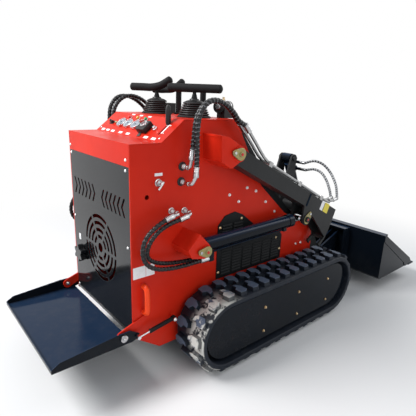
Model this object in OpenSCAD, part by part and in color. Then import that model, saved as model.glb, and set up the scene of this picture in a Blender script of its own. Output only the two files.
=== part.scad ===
// Stand-on mini skid steer loader with rubber tracks, lift arms, bucket and a folding rear platform.
// Millimetres. +X points forward to the bucket, +Y to the machine's left, +Z up.
// Inside the modules x = 0 is the rear panel's plane; on_ground() moves it to the middle of the length.

/* [Body] */
// Width over the two side plates
body_w = 550; // [500:5:600]
// Height of the shelf at the rear
shelf_z = 972; // [940:2:1000]
// Height of the console top
console_z = 1054; // [1030:2:1080]
// Length of the shelf, from the rear panel forward
shelf_l = 132; // [110:2:150]
// Length of the sloped instrument panel, measured flat
slope_l = 101; // [85:2:120]
// Front end of the console top
console_x = 505; // [480:5:520]
// Front end of the body
body_l = 1137; // [1110:1:1140]
// Height of the belly plate above the ground
belly_z = 115; // [95:1:140]
// Thickness of the side plates
plate_t = 6; // [4:1:8]
// Thickness of the sheet covers
sheet_t = 3; // [2:0.5:4]
// Height of the red band over the rear panel
band_h = 82; // [60:2:110]

/* [Tracks] */
// Width of one rubber track
track_w = 180; // [160:5:200]
// Pitch of the lugs
lug_pitch = 72; // [70:0.5:74]
// Number of lugs in one row
lug_count = 34; // [33:1:35]
// Height of a lug above the belt
lug_h = 20; // [14:1:24]
// Thickness of the belt
belt_t = 24; // [18:1:28]
// Radius of the belt's outer face round the wheels
wheel_turn_r = 158; // [150:1:165]
// Gap between track and side plate
track_gap = 17; // [12:1:25]
// Centre of the rear wheel
rear_wheel_x = 358; // [345:1:370]

/* [Lift arms] */
// Arm pivot, distance forward of the rear panel
pivot_x = 423; // [415:1:430]
// Arm pivot, height
pivot_z = 928; // [915:1:940]
// Downward slope of the lowered arms in degrees
arm_fall = 26.6; // [25:0.1:28]
// Width of an arm's box section
arm_w = 80; // [70:1:84]
// Depth of an arm's box section
arm_h = 70; // [60:1:76]
// Gap between side plate and arm
arm_gap = 18; // [15:1:22]
// Diameter of the arm pivot pins
pivot_pin_d = 40; // [30:1:44]

/* [Cylinders] */
// Lift cylinder base pin, distance forward of the rear panel
base_pin_x = 267; // [260:1:275]
// Lift cylinder base pin, height
base_pin_z = 552; // [545:1:560]
// Lift cylinder rod pin, distance along the arm from the arm pivot
rod_pin_u = 622; // [612:1:632]
// Lift cylinder rod pin, distance below the arm's pivot line
rod_pin_v = 97; // [90:1:104]
// Outer diameter of the cylinder barrels
barrel_d = 60; // [54:1:64]
// Diameter of the piston rods
rod_d = 30; // [24:1:34]
// Diameter of the cylinder pins
pin_d = 30; // [22:1:32]
// Length of lift rod that shows with the arms down
lift_rod_show = 51; // [40:1:70]
// Length of tilt rod that shows with the bucket level
tilt_rod_show = 98; // [90:1:110]

/* [Hitch and bucket] */
// Tilt cylinder's upper pin, forward of the cross tube
tower_dx = 51; // [45:1:60]
// Tilt cylinder's upper pin, above the cross tube
tower_dz = 262; // [250:1:275]
// Hitch pivot, forward of the cross tube
hitch_dx = 170; // [165:1:175]
// Hitch pivot, height
hitch_z = 210; // [200:1:220]
// Rod pin of the tilt cylinder, forward of the hitch pivot
tilt_pin_dx = 95; // [90:1:100]
// Rod pin of the tilt cylinder, above the hitch pivot
tilt_pin_dz = 135; // [130:1:140]
// Width of the bucket
bucket_w = 1010; // [950:10:1060]
// Length of the bucket from its back to the cutting edge
bucket_l = 478; // [440:2:520]
// Height of the bucket's back
bucket_h = 288; // [260:2:320]
// Height of the bucket's floor above the ground
bucket_z = 94; // [80:1:110]
// Wall thickness of the bucket
bucket_t = 6; // [4:1:8]

/* [Platform] */
// Length of the platform behind the rear panel
platform_l = 323; // [300:1:350]
// Width over the platform's flanges
platform_w = 584; // [582:1:596]
// Height of the platform's underside
platform_z = 203; // [196:1:210]
// Height of the platform's side flanges
flange_h = 52; // [44:1:60]
// Platform hinge, distance behind the rear panel
fold_x = 50; // [46:1:56]
// Platform hinge, above the platform's underside
fold_dz = 32; // [28:1:36]
// Thickness of the platform's steel
platform_t = 4; // [3:0.5:5]
// Gap between the rear panel and the platform's floor
floor_gap = 14; // [6:1:20]

/* [Controls] */
// Distance of the control levers from the middle plane
lever_y = 145; // [135:1:155]
// Distance of the control levers forward of the rear panel
lever_x = 378; // [370:1:386]
// Height of the lever boots
boot_h = 76; // [60:1:85]
// Height of the grips above the console
grip_z = 118; // [112:1:128]
// Half the length of a grip between its round ends
grip_half = 106; // [90:1:125]
// Diameter of the grips
grip_d = 36; // [30:1:38]
// Turn of the grips away from square across, in degrees
grip_turn = 35; // [0:1:40]

/* [Hidden] */

red = "#d92a12";
black = "#16181b";
dark = "#2b2d2e";
steel = "#b8bcc0";
rubber = "#26282b";

$fn = 32;
// Running clearance at pins and rods, and the gap between pieces that seat on each other
run = 0.15;
seat = 0.3;

half_w = body_w/2;

// Console and body outline
slope_x = shelf_l + slope_l;
front_low_z = belly_z + 267;
front_top_z = belly_z + 343;
nose_x = body_l - 9;
knee_x = 877;
knee_z = 584;
brow_x = 690;
brow_z = 745;
rear_low_z = 205;
heel_x = 124;
panel_low_z = 212;

// Track loop
// Clearance of the wheels and rollers inside the belt
belt_gap = 0.8;
belt_y = half_w + track_gap;
pitch_r = wheel_turn_r - belt_t/2;
run_l = (lug_count*lug_pitch - 2*PI*pitch_r)/2;
front_wheel_x = rear_wheel_x + run_l;
wheel_z = wheel_turn_r + lug_h;
wheel_r = wheel_turn_r - belt_t - belt_gap;
frame_y = belt_y + track_w/2;
frame_gap = 44;
frame_plate = 8;
roller_r = 45;
cover_r = 118;
cover_in = 22;
cover_t = 4;

// Arms
arm_y = half_w + arm_gap;
arm_mid = arm_y + arm_w/2;
arm_over = 29;
ear_t = 10;
tube_r = 38;
tube_x = body_l + 23;
tube_z = pivot_z - (tube_x - pivot_x)*tan(arm_fall) - 14;
arm_l = (tube_x + 25 - pivot_x)/cos(arm_fall);
tower_x = tube_x + tower_dx;
tower_z = tube_z + tower_dz;
hitch_x = tube_x + hitch_dx;
leg_y = 165;
leg_t = 20;
side_gap = 6;
bracket_t = 8;

// Cylinders, from pin to pin
function turned(u, v, a) = [u*cos(a) + v*sin(a), -u*sin(a) + v*cos(a)];
rod_pin = [pivot_x, pivot_z] + turned(rod_pin_u, -rod_pin_v, arm_fall);
lift_dx = rod_pin[0] - base_pin_x;
lift_dz = rod_pin[1] - base_pin_z;
lift_l = sqrt(lift_dx*lift_dx + lift_dz*lift_dz);
lift_a = atan2(lift_dz, lift_dx);
tilt_x = hitch_x + tilt_pin_dx;
tilt_z = hitch_z + tilt_pin_dz;
tilt_dx = tilt_x - tower_x;
tilt_dz = tilt_z - tower_z;
tilt_l = sqrt(tilt_dx*tilt_dx + tilt_dz*tilt_dz);
tilt_a = atan2(tilt_dz, tilt_dx);
eye_w = 40;
eye_r = 26;
tilt_eye_w = 60;
lift_barrel_l = lift_l - eye_r - lift_rod_show;
tilt_barrel_l = tilt_l - eye_r - tilt_rod_show;
tower_t = 12;

// Hitch and bucket
hitch_plate_x = hitch_x + 220;
hitch_t = 12;
hitch_w = 550;
bucket_back = hitch_plate_x + hitch_t + seat;
lip_l = 70;
lip_t = 10;
mid_x = (bucket_back + bucket_l - platform_l)/2;

// Platform and its gas struts
fold_z = platform_z + fold_dz;
strut_y = platform_w/2 + 14;
strut_body = [172, 248];
strut_foot = [8, platform_z + 19];
strut_dx = strut_foot[0] - strut_body[0];
strut_dz = strut_foot[1] - strut_body[1];
strut_l = sqrt(strut_dx*strut_dx + strut_dz*strut_dz);
strut_a = atan2(strut_dz, strut_dx);

// Hose ports on the cylinders: along the barrel, off its axis, and across
lift_port_u = 47;
lift_port_v = -58;
lift_port_y = 13;
tilt_port_u = [47, 95];
tilt_port_v = barrel_d/2 + 8;
tilt_port_y = 50;
function on_barrel(u, v, y) =
    [base_pin_x + u*cos(lift_a) - v*sin(lift_a), -y, base_pin_z + u*sin(lift_a) + v*cos(lift_a)];
function on_tilt(u, v, y) =
    [tower_x + u*cos(tilt_a) - v*sin(tilt_a), -y, tower_z + u*sin(tilt_a) + v*cos(tilt_a)];

// Hoses, [x, y, z] on the machine's right side
hose_d = 22;
front_hose_d = 16;
pipe_d = 14;
// Gap between a hose's end and its port
hose_gap = 0.8;
pipe_in = arm_mid - 17;
pipe_out = arm_mid + 15;
function on_arm(u, v) = [pivot_x, pivot_z] + turned(u, v, arm_fall);
pipe_path = [[512, 1008], [526, 992], [562, 952], [610, 898], [660, 862], on_arm(308, 47), on_arm(arm_l - 96, 47),
    on_arm(arm_l - 56, 56), on_arm(arm_l - 19, 72)];
pipe_rise = [-0.66, 0.75];
function pipe_start(y, off = 0) =
    [pipe_path[0][0] + (hose_gap + off)*pipe_rise[0], -y, pipe_path[0][1] + (hose_gap + off)*pipe_rise[1]];
function pipe_end(y) = [pipe_path[len(pipe_path) - 1][0] + hose_gap, -y, pipe_path[len(pipe_path) - 1][1]];
upper_hose_a = [[231, -326, 908], [236, -326, 945], [240, -327, 985], [244, -328, 1030], [253, -328, 1070],
    [277, -327, 1104], [312, -325, 1125], [355, -322, 1128], [400, -320, 1112], [434, -318, 1086], [464, -317, 1055],
    pipe_start(pipe_in, 30), pipe_start(pipe_in)];
upper_hose_b = [[236, -350, 846], [238, -351, 890], [238, -352, 936], [236, -353, 989], [236, -354, 1030],
    [243, -354, 1071], [264, -354, 1106], [296, -353, 1125], [338, -352, 1126], [382, -351, 1109], [418, -350, 1083],
    [448, -349, 1053], pipe_start(pipe_out, 30), pipe_start(pipe_out)];
lower_hose_a = [[150, -331, 704], [117, -333, 695], [70, -335, 674], [32, -336, 645], [13, -338, 606],
    [14, -340, 567], [32, -342, 535], [68, -344, 512], [120, -345, 500], [180, -346, 495], [250, -346, 494],
    on_barrel(lift_port_u - hose_gap, lift_port_v, arm_mid + lift_port_y)];
lower_hose_b = [[222, -326, 690], [188, -326, 682], [136, -326, 672], [88, -326, 651], [52, -325, 616],
    [38, -324, 576], [54, -322, 543], [100, -321, 520], [160, -320, 506], [218, -320, 499], [262, -320, 496],
    on_barrel(lift_port_u - hose_gap, lift_port_v, arm_mid - lift_port_y)];
function from_tube(x, y, z) = [tube_x + x, y, tube_z + z];
front_hose_a = [on_tilt(tilt_port_u[0], tilt_port_v, tilt_port_y + hose_gap),
    on_tilt(tilt_port_u[0], tilt_port_v, tilt_port_y + 16), on_tilt(tilt_port_u[0], tilt_port_v, tilt_port_y + 34),
    from_tube(128, -145, 252), from_tube(156, -210, 236), from_tube(172, -268, 198), from_tube(160, -315, 142),
    from_tube(122, -340, 98), from_tube(82, -pipe_out, 78), pipe_end(pipe_out)];
front_hose_b = [on_tilt(tilt_port_u[1], tilt_port_v, tilt_port_y + hose_gap),
    on_tilt(tilt_port_u[1], tilt_port_v, tilt_port_y + 16), on_tilt(tilt_port_u[1], tilt_port_v, tilt_port_y + 34),
    from_tube(132, -145, 206), from_tube(140, -195, 190), from_tube(138, -240, 160), from_tube(122, -280, 122),
    from_tube(98, -306, 92), from_tube(72, -pipe_in, 77), pipe_end(pipe_in)];

function arc(cx, cz, r, a0, a1, n) =
    [for (i = [0:n]) let (a = a0 + (a1 - a0)*i/n) [cx + r*cos(a), cz + r*sin(a)]];

// An outline with corner i rounded to radius r[i]
function soft(p, r) = [for (i = [0:len(p) - 1])
    let (n = len(p), b = p[i], u = unit(p[(i + n - 1)%n] - b), v = unit(p[(i + 1)%n] - b), half = acos(u*v)/2,
        centre = b + unit(u + v)*r[i]/sin(half), s = r[i]/tan(half))
    for (k = r[i] > 0 ? [0:4] : [0]) r[i] > 0
        ? centre + r[i]*unit((b + u*s - centre)*(4 - k) + (b + v*s - centre)*k)
        : b];

module on_ground() {
    translate([-mid_x, 0, 0]) children();
}

// A profile drawn in x and z, as thick as t from y0 on
module xz(y0, t) {
    translate([0, y0 + t, 0]) rotate([90, 0, 0]) linear_extrude(t) children();
}

module bar_y(x, z, r, y0, y1) {
    translate([x, y1, z]) rotate([90, 0, 0]) cylinder(h = y1 - y0, r = r);
}

module both_sides() {
    children();
    mirror([0, 1, 0]) children();
}

module slab(p, q) {
    translate(p) cube(q - p);
}

// A round tube swept along points; every ring faces the mean direction of its two stretches
function unit(v) = v/norm(v);
function course(p, i) = unit(p[min(i + 1, len(p) - 1)] - p[max(i - 1, 0)]);
function between(p, n) = [for (i = [0:len(p) - 2]) for (k = [0:n - 1]) spline(p, i, k/n), p[len(p) - 1]];
function spline(p, i, t) =
    let (a = p[max(i - 1, 0)], b = p[i], c = p[i + 1], d = p[min(i + 2, len(p) - 1)])
    0.5*(2*b + (c - a)*t + (2*a - 5*b + 4*c - d)*t*t + (3*b - a - 3*c + d)*t*t*t);

module hose(route, d, sides = 8, steps = 3) {
    p = between(route, steps);
    n = len(p);
    rings = [for (i = [0:n - 1])
        let (t = course(p, i), side = unit(cross(t, abs(t[1]) > 0.9 ? [0, 0, 1] : [0, 1, 0])), up = cross(t, side))
        for (k = [0:sides - 1]) p[i] + d/2*(cos(360*k/sides)*side + sin(360*k/sides)*up)];
    faces = [
        [for (k = [0:sides - 1]) k],
        for (i = [0:n - 2]) for (k = [0:sides - 1])
            [i*sides + k, (i + 1)*sides + k, (i + 1)*sides + (k + 1)%sides, i*sides + (k + 1)%sides],
        [for (k = [sides - 1:-1:0]) (n - 1)*sides + k]
    ];
    polyhedron(rings, faces);
}

// Body

function side_outline() = [
    [0, rear_low_z], [heel_x, belly_z], [body_l, belly_z], [body_l, front_low_z], [nose_x, front_top_z],
    [knee_x, knee_z], [brow_x, brow_z], [console_x, console_z - sheet_t - seat],
    [slope_x + 1, console_z - sheet_t - seat], [shelf_l + 1, shelf_z - sheet_t - seat],
    [0, shelf_z - sheet_t - seat]
];

// The grille's window: a dome at the rear over a long rounded rectangle
grille_x = 424;
grille_z = 339;
grille_l = 445;
grille_h = 128;
dome_l = 190;
dome_h = 308;

function grille_outline(grow) = [
    [grille_x - grow, grille_z - grow], [grille_x + grille_l + grow, grille_z - grow],
    [grille_x + grille_l + grow, grille_z + grille_h],
    [grille_x + grille_l - 12, grille_z + grille_h + 14 + grow],
    [grille_x + dome_l + 50, grille_z + grille_h + 88 + grow],
    [grille_x + dome_l - 40, grille_z + dome_h - 22 + grow],
    [grille_x + dome_l - 90, grille_z + dome_h + grow],
    [grille_x + 40, grille_z + dome_h - 10 + grow],
    [grille_x - grow, grille_z + dome_h - 50]
];

module side_plate() {
    difference() {
        xz(-half_w, plate_t) polygon(side_outline());
        xz(-half_w - 1, plate_t + 2) polygon(grille_outline(-12));
        bar_y(69, 774, 9, -half_w - 1, -half_w + plate_t + 1);
    }
}

module side_plate_right() {
    color(red) on_ground() side_plate();
}

module side_plate_left() {
    color(red) on_ground() mirror([0, 1, 0]) side_plate();
}

// One folded sheet: band, shelf, instrument slope and console top
module console_shell() {
    w = half_w;
    color(red) on_ground() difference() {
        xz(-w, 2*w) polygon([
            [0, shelf_z - band_h], [0, shelf_z], [shelf_l, shelf_z], [slope_x, console_z],
            [console_x, console_z], [console_x, console_z - sheet_t], [slope_x + 1, console_z - sheet_t],
            [shelf_l + 1, shelf_z - sheet_t], [sheet_t, shelf_z - sheet_t], [sheet_t, shelf_z - band_h]
        ]);
        for (y = [-w, w - plate_t - seat])
            slab([-1, y - 1, shelf_z - band_h - 1], [sheet_t + 1, y + plate_t + seat + 1, shelf_z - sheet_t - seat]);
        for (y = [-lever_y, lever_y])
            translate([lever_x, y, console_z - 20]) cylinder(h = 40, r = 30);
        slab([lever_slot_x, lever_slot_y - slot_w/2, shelf_z - 10],
            [lever_slot_x + lever_slot_l, lever_slot_y + slot_w/2, console_z + 10]);
    }
}
lever_slot_x = shelf_l + 28;
lever_slot_y = -209;
lever_slot_l = 54;
slot_w = 8;

vent_y = -5;
vent_z = 503;
vent_r = 155;
vent_slots = [49, 79, 109, 139];
vent_slot_w = 15;
louvre_z = 728;

module chevrons(y0, dir) {
    for (i = [0:5])
        for (s = [-1, 1])
            translate([0, y0 + dir*i*33, louvre_z])
                rotate([s*35, 0, 0])
                    slab([-1, -6, s > 0 ? -3 : -31], [sheet_t + 2, 6, s > 0 ? 31 : 3]);
}

module rear_panel() {
    w = half_w - 0.1;
    color(black) on_ground() difference() {
        union() {
            slab([0, -w + plate_t + seat, panel_low_z], [sheet_t, w - plate_t - seat, shelf_z - band_h - seat]);
            slab([sheet_t, -w + plate_t + seat, panel_low_z], [25, w - plate_t - seat, panel_low_z + sheet_t]);
        }
        chevrons(45, 1);
        chevrons(-45, -1);
        for (r = vent_slots)
            translate([-1, vent_y, vent_z]) rotate([0, 90, 0]) difference() {
                cylinder(h = sheet_t + 2, r = r + vent_slot_w/2);
                translate([0, 0, -1]) cylinder(h = sheet_t + 4, r = r - vent_slot_w/2);
                for (a = [30:60:330])
                    rotate([0, 0, a]) translate([0, -7, -1]) cube([vent_r, 14, sheet_t + 4]);
            }
        translate([-1, vent_y, vent_z]) rotate([0, 90, 0]) cylinder(h = sheet_t + 2, r = 21);
    }
}

// Hood in front of the engine, standing proud of the side plates' sloped edge
module front_cover() {
    proud = 45;
    w = half_w - plate_t - seat;
    outer = [[console_x + 1, console_z - 2], [console_x + 135, console_z - 160], [brow_x + proud, brow_z + 12],
        [knee_x + 25, knee_z + 22], [nose_x - 30, front_top_z + 14], [body_l - 2, front_low_z + 60],
        [body_l - 2, belly_z + 60]];
    inner = [[body_l - 5, belly_z + 60], [body_l - 5, front_low_z + 58], [nose_x - 32, front_top_z + 10],
        [knee_x + 23, knee_z + 18], [brow_x + proud - 4, brow_z + 9], [console_x + 132, console_z - 163],
        [console_x + 1, console_z - 8]];
    color(black) on_ground() union() {
        xz(-w, 2*w) polygon(concat(outer, inner));
        both_sides() xz(-w, sheet_t) polygon([
            outer[0], outer[1], outer[2], outer[3], outer[4],
            [nose_x - 60, front_top_z - 20], [knee_x - 20, knee_z - 20], [brow_x - 20, brow_z - 20],
            [console_x - 10, console_z - 60]
        ]);
    }
}

module belly_pan() {
    w = half_w - plate_t - seat;
    color(dark) on_ground() union() {
        slab([heel_x, -w, belly_z], [body_l - 5, w, belly_z + 8]);
        slab([body_l - 13, -w, belly_z + 8], [body_l - 5, w, belly_z + 58]);
        xz(-w, 2*w) polygon([
            [4, rear_low_z], [heel_x, belly_z], [heel_x, belly_z + 8], [8, rear_low_z + 2], [4, rear_low_z + 3]
        ]);
    }
}

engine_x = 430;
engine_z = belly_z + 215;
engine_top = knee_z + 56;

module engine_block() {
    color(dark) on_ground() union() {
        slab([engine_x, -half_w + 65, engine_z], [engine_x + 370, half_w - 65, engine_top]);
        both_sides()
            slab([engine_x + 50, half_w - 155, belly_z + 8], [engine_x + 350, half_w - 105, engine_z]);
        slab([engine_x + 50, -half_w + 125, engine_top], [engine_x + 220, half_w - 125, console_z - 254]);
    }
}

module grille() {
    xz(-half_w - 3, 3) difference() {
        polygon(grille_outline(0));
        for (row = [0:7])
            for (col = [0:5])
                translate([grille_x + 28 + col*68, grille_z + 14 + row*14.5])
                    square([52, 7]);
        for (row = [8:16])
            for (col = [0:1])
                translate([grille_x + 28 + col*68, grille_z + 14 + row*14.5])
                    square([52, 7]);
    }
}

module side_grilles() {
    color(black) on_ground() both_sides() translate([0, -0.1, 0]) grille();
}

// Bracket walls, from the side plate out to the outer plate
module box_bracket(outline, walls, px, pz, pr, boss_r) {
    y_out = arm_y + arm_w + side_gap;
    xz(-y_out - bracket_t, bracket_t) polygon(soft(outline, [0, 0, 24, 14, 22, 14, 0]));
    for (w = walls)
        xz(-y_out, y_out - half_w - 0.05) polygon(w);
    bar_y(px, pz, pr, -y_out, -half_w - 0.05);
    bar_y(px, pz, boss_r, -y_out, -arm_y - arm_w - seat);
    bar_y(px, pz, boss_r, -arm_y + seat, -half_w - 0.05);
    // keeper plate and pin head
    bar_y(px, pz, pr, -y_out - bracket_t - 12, -y_out - bracket_t);
    bar_y(px, pz, pr + 12, -y_out - bracket_t - 5, -y_out - bracket_t);
    bar_y(px - pr - 14, pz + 6, 9, -y_out - bracket_t - 10, -y_out - bracket_t);
}

function strip(a, b, t) =
    let (d = (b - a)/norm(b - a), n = [-d[1], d[0]]*t) [a, b, b + n, a + n];

module arm_bracket() {
    p = [pivot_x, pivot_z];
    q = [p + [-97, 75], p + [-60, 69], p + [19, 24], p + [32, 2], p + [26, -22], p + [-40, -58], p + [-92, -26]];
    box_bracket(q, [strip(q[1], q[0], bracket_t), strip(q[0], q[6], bracket_t), strip(q[6], q[5], bracket_t)],
        p[0], p[1], pivot_pin_d/2, 34);
}

module arm_brackets() {
    color(red) on_ground() both_sides() arm_bracket();
}

module cylinder_bracket() {
    p = [base_pin_x, base_pin_z];
    y_out = arm_mid + eye_w/2 + side_gap + 20;
    q = [p + [-30, 76], p + [16, 27], p + [30, 4], p + [22, -22], p + [-4, -32], p + [-67, -17], p + [-86, 19]];
    xz(-y_out - bracket_t, bracket_t) polygon(soft(q, [0, 20, 12, 14, 12, 0, 0]));
    for (w = [strip(q[0], q[6], bracket_t), strip(q[6], q[5], bracket_t)])
        xz(-y_out, y_out - half_w - 0.05) polygon(w);
    bar_y(p[0], p[1], pin_d/2, -y_out, -half_w - 0.05);
    bar_y(p[0], p[1], 27, -y_out, -arm_mid - eye_w/2 - seat);
    bar_y(p[0], p[1], 27, -arm_mid + eye_w/2 + seat, -half_w - 0.05);
    bar_y(p[0], p[1], pin_d/2, -y_out - bracket_t - 12, -y_out - bracket_t);
    bar_y(p[0], p[1], pin_d/2 + 11, -y_out - bracket_t - 5, -y_out - bracket_t);
    bar_y(p[0] - 28, p[1] + 6, 8, -y_out - bracket_t - 10, -y_out - bracket_t);
}

module cylinder_brackets() {
    color(red) on_ground() both_sides() cylinder_bracket();
}

// Controls

// Radius and height of the boot's rolls
boot_rings = [[70, 0], [70, 7], [65, 9], [67, 15], [61, 18], [64, 24], [58, 27], [60, 33], [55, 36], [57, 42],
    [51, 45], [53, 51], [46, 54], [45, 60], [36, 66], [20, 70]];

module lever_boots() {
    color(black) on_ground() both_sides()
        translate([lever_x, lever_y, console_z + 0.1])
            rotate_extrude($fn = 40)
                polygon(concat([[8 + run, 0]], [for (p = boot_rings) p], [[20, boot_h], [8 + run, boot_h]]));
}

module grip(points, d) {
    for (i = [0:len(points) - 2])
        hull() {
            translate(points[i]) sphere(d = d, $fn = 12);
            translate(points[i + 1]) sphere(d = d, $fn = 12);
        }
}

// A point at length s along a grip and h above its level part
function along(s, h) = [s*sin(grip_turn), -s*cos(grip_turn), h];

module lever_grips() {
    color(black) on_ground() {
        for (y = [-lever_y, lever_y])
            translate([lever_x, y, console_z - 15]) cylinder(h = grip_z + 10, r = 8);
        translate([lever_x, lever_y, console_z + grip_z])
            grip([along(-grip_half - 14, 0), along(-20, 0), along(22, 12), along(60, 34)], grip_d);
        translate([lever_x, -lever_y, console_z + grip_z])
            grip([along(-grip_half, 0), along(grip_half, 0)], grip_d);
    }
}

bar_d = 32;
bar_z = 116;
bar_posts = [[84, 86], [92, -88]];

module reference_bar() {
    ends = [for (p = bar_posts) [p[0], p[1], bar_z]];
    color(black) on_ground() translate([lever_x, 0, console_z]) {
        for (p = bar_posts)
            translate([p[0], p[1], 0.1]) cylinder(h = bar_z, r = 11);
        grip(ends, 22);
        grip([[33, 238, 109], [71, 179, 110], [88, 128, 116], [102, 76, 141]], bar_d);
    }
}

module slot_lever() {
    color(black) on_ground()
        translate([lever_slot_x + 45, lever_slot_y, shelf_z + 18]) union() {
            translate([-6, -slot_w/2 + seat, 0]) cube([12, slot_w - 2*seat, 60]);
            translate([-11, -8, 50]) cube([22, 16, 52]);
        }
}

// Gauge, lamp and switch places on the slope: distance from the middle plane, distance up the slope, radius, height
gauges = [[116, 63, 26, 12], [54, 63, 26, 12], [-8, 63, 26, 12]];
lamps = [[91, 101, 9, 14], [23, 101, 9, 14], [-41, 101, 9, 14], [-160, 59, 11, 16], [204, 59, 11, 14], [166, 60, 6, 12]];

module instruments() {
    a = atan2(console_z - shelf_z, slope_l);
    color(steel) on_ground() translate([shelf_l, 0, shelf_z]) rotate([0, -a, 0]) {
        for (g = concat(gauges, lamps))
            translate([g[1], g[0], 0.1]) cylinder(h = g[3], r = g[2]);
        slab([22, -144, 0.1], [78, -56, 24]);
    }
}

module air_canister() {
    color(black) on_ground() {
        translate([lever_x + 96, -190, console_z + 46]) rotate([0, 90, 20]) cylinder(h = 90, r = 26);
        translate([lever_x + 110, -215, console_z + 0.1]) cube([50, 50, 44]);
        translate([lever_x + 74, 170, console_z + 0.1]) cube([52, 60, 48]);
    }
}

// Tracks

// A point on the loop at length s from the rear end of the top run: x, z and the outward direction's turn
function loop_at(s, r) =
    let (bend = PI*pitch_r)
    s < run_l ? [rear_wheel_x + s, wheel_z + r, 0]
    : s < run_l + bend ? let (a = 180*(s - run_l)/bend) [front_wheel_x + r*sin(a), wheel_z + r*cos(a), a]
    : s < 2*run_l + bend ? [front_wheel_x - (s - run_l - bend), wheel_z - r, 180]
    : let (a = 180 + 180*(s - 2*run_l - bend)/bend) [rear_wheel_x + r*sin(a), wheel_z + r*cos(a), a];

function stadium(r, n) = concat(arc(rear_wheel_x, wheel_z, r, 270, 90, n), arc(front_wheel_x, wheel_z, r, 90, -90, n));

lug_sink = 6;
// A lug on a round end sits lower, so that its corners stay inside the turning circle
lug_dip = 2;
// A claw-shaped lug seen from above: along the track, across from the belt's outer edge
claw = [[-20, 12], [10, 10], [26, 22], [24, 60], [10, 84], [-8, 88], [-6, 62], [-24, 48]];

module lug(s, flip) {
    at = loop_at(s, wheel_turn_r - lug_sink);
    drop = at[2] == 0 || at[2] == 180 ? 0 : lug_dip;
    translate([at[0], 0, at[1]]) rotate([0, at[2], 0]) translate([0, 0, -drop])
        translate([0, flip ? -belt_y - track_w : -belt_y, 0])
            mirror([0, flip ? 0 : 1, 0])
                linear_extrude(lug_h + lug_sink) polygon(claw);
}

module track() {
    difference() {
        xz(-belt_y - track_w, track_w) polygon(stadium(wheel_turn_r, 18));
        xz(-belt_y - track_w - 1, track_w + 2) polygon(stadium(wheel_turn_r - belt_t, 18));
    }
    for (i = [0:lug_count - 1]) {
        lug(i*lug_pitch + lug_pitch/2, false);
        lug(i*lug_pitch, true);
    }
}

module track_right() {
    color(rubber) on_ground() track();
}

module track_left() {
    color(rubber) on_ground() mirror([0, 1, 0]) track();
}

cover_bolt_x = 583;
cover_bolt_pitch = 248;
cover_bolt_z = [99, 222];

module track_frame() {
    low = wheel_z - 103;
    top = wheel_z + 62;
    for (s = [-1, 1])
        xz(-frame_y + (s > 0 ? frame_gap/2 : -frame_gap/2 - frame_plate), frame_plate)
            polygon(concat(
                [[rear_wheel_x + 60, low], [front_wheel_x - 60, low]],
                arc(front_wheel_x, wheel_z, 50, -50, 50, 4),
                [[front_wheel_x - 60, top], [rear_wheel_x + 60, top]],
                arc(rear_wheel_x, wheel_z, 50, 130, 230, 4)));
    slab([rear_wheel_x + 150, -frame_y - frame_gap/2, top - 10], [front_wheel_x - 150, -frame_y + frame_gap/2, top]);
    for (x = [rear_wheel_x, front_wheel_x])
        bar_y(x, wheel_z, wheel_r, -frame_y - frame_gap/2 + 2, -frame_y + frame_gap/2 - 2, $fn = 48);
    for (x = [rear_wheel_x, front_wheel_x])
        bar_y(x, wheel_z, 24, -frame_y - frame_gap/2 - frame_plate, -frame_y + frame_gap/2 + frame_plate);
    for (i = [0:3])
        let (x = rear_wheel_x + 200 + i*(run_l - 400)/3, z = wheel_z - wheel_r + roller_r) {
            bar_y(x, z, roller_r, -frame_y - frame_gap/2 + 2, -frame_y + frame_gap/2 - 2);
            bar_y(x, z, 14, -frame_y - frame_gap/2 - frame_plate, -frame_y + frame_gap/2 + frame_plate);
        }
    for (x = [rear_wheel_x + 170, front_wheel_x - 170])
        bar_y(x, wheel_z, 30, -frame_y + frame_gap/2, -half_w - 0.1);
    bar_y(rear_wheel_x, wheel_z, 60, -frame_y + frame_gap/2 + frame_plate, -half_w - 0.1);
}

module track_frame_right() {
    color(dark) on_ground() track_frame();
}

module track_frame_left() {
    color(dark) on_ground() mirror([0, 1, 0]) track_frame();
}

module track_covers() {
    y_out = belt_y + track_w - cover_in;
    color(black) on_ground() both_sides() {
        xz(-y_out, cover_t) polygon(stadium(cover_r, 18));
        for (i = [0:2])
            for (z = cover_bolt_z)
                bar_y(cover_bolt_x + i*cover_bolt_pitch, z, 11,
                    -y_out + cover_t, -frame_y - frame_gap/2 - frame_plate - 0.05);
    }
}

// Fittings on the side plates

handle_x = 36;
handle_z = fold_z + 65;
handle_l = 130;

module grab_handles() {
    color(red) on_ground() both_sides() {
        for (z = [handle_z, handle_z + handle_l - 16])
            slab([handle_x, -half_w - 42, z], [handle_x + 24, -half_w - 0.05, z + 16]);
        slab([handle_x, -half_w - 42, handle_z], [handle_x + 24, -half_w - 28, handle_z + handle_l]);
    }
}

upper_ports = [[230, 877], [222, 814]];
lower_ports = [[176, 706], [238, 698]];

// From a port in the side plate to the first point of its hose, which leaves towards its second point
module elbow(port, first, second) {
    r = 9;
    q = first - (r + seat)*unit(second - first);
    bar_y(port[0], port[1], r, q[1] - r, -half_w - 0.05);
    hull() {
        translate([port[0], q[1], port[1]]) sphere(r = r, $fn = 12);
        translate(q) sphere(r = r, $fn = 12);
    }
}

module bulkhead_fittings() {
    color(steel) on_ground() both_sides() {
        elbow(upper_ports[0], upper_hose_a[0], upper_hose_a[1]);
        elbow(upper_ports[1], upper_hose_b[0], upper_hose_b[1]);
        elbow(lower_ports[0], lower_hose_a[0], lower_hose_a[1]);
        elbow(lower_ports[1], lower_hose_b[0], lower_hose_b[1]);
    }
}

module upper_hoses() {
    color(rubber) on_ground() both_sides() {
        hose(upper_hose_a, hose_d);
        hose(upper_hose_b, hose_d);
    }
}

module lower_hoses() {
    color(rubber) on_ground() both_sides() {
        hose(lower_hose_a, hose_d);
        hose(lower_hose_b, hose_d);
    }
}

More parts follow.
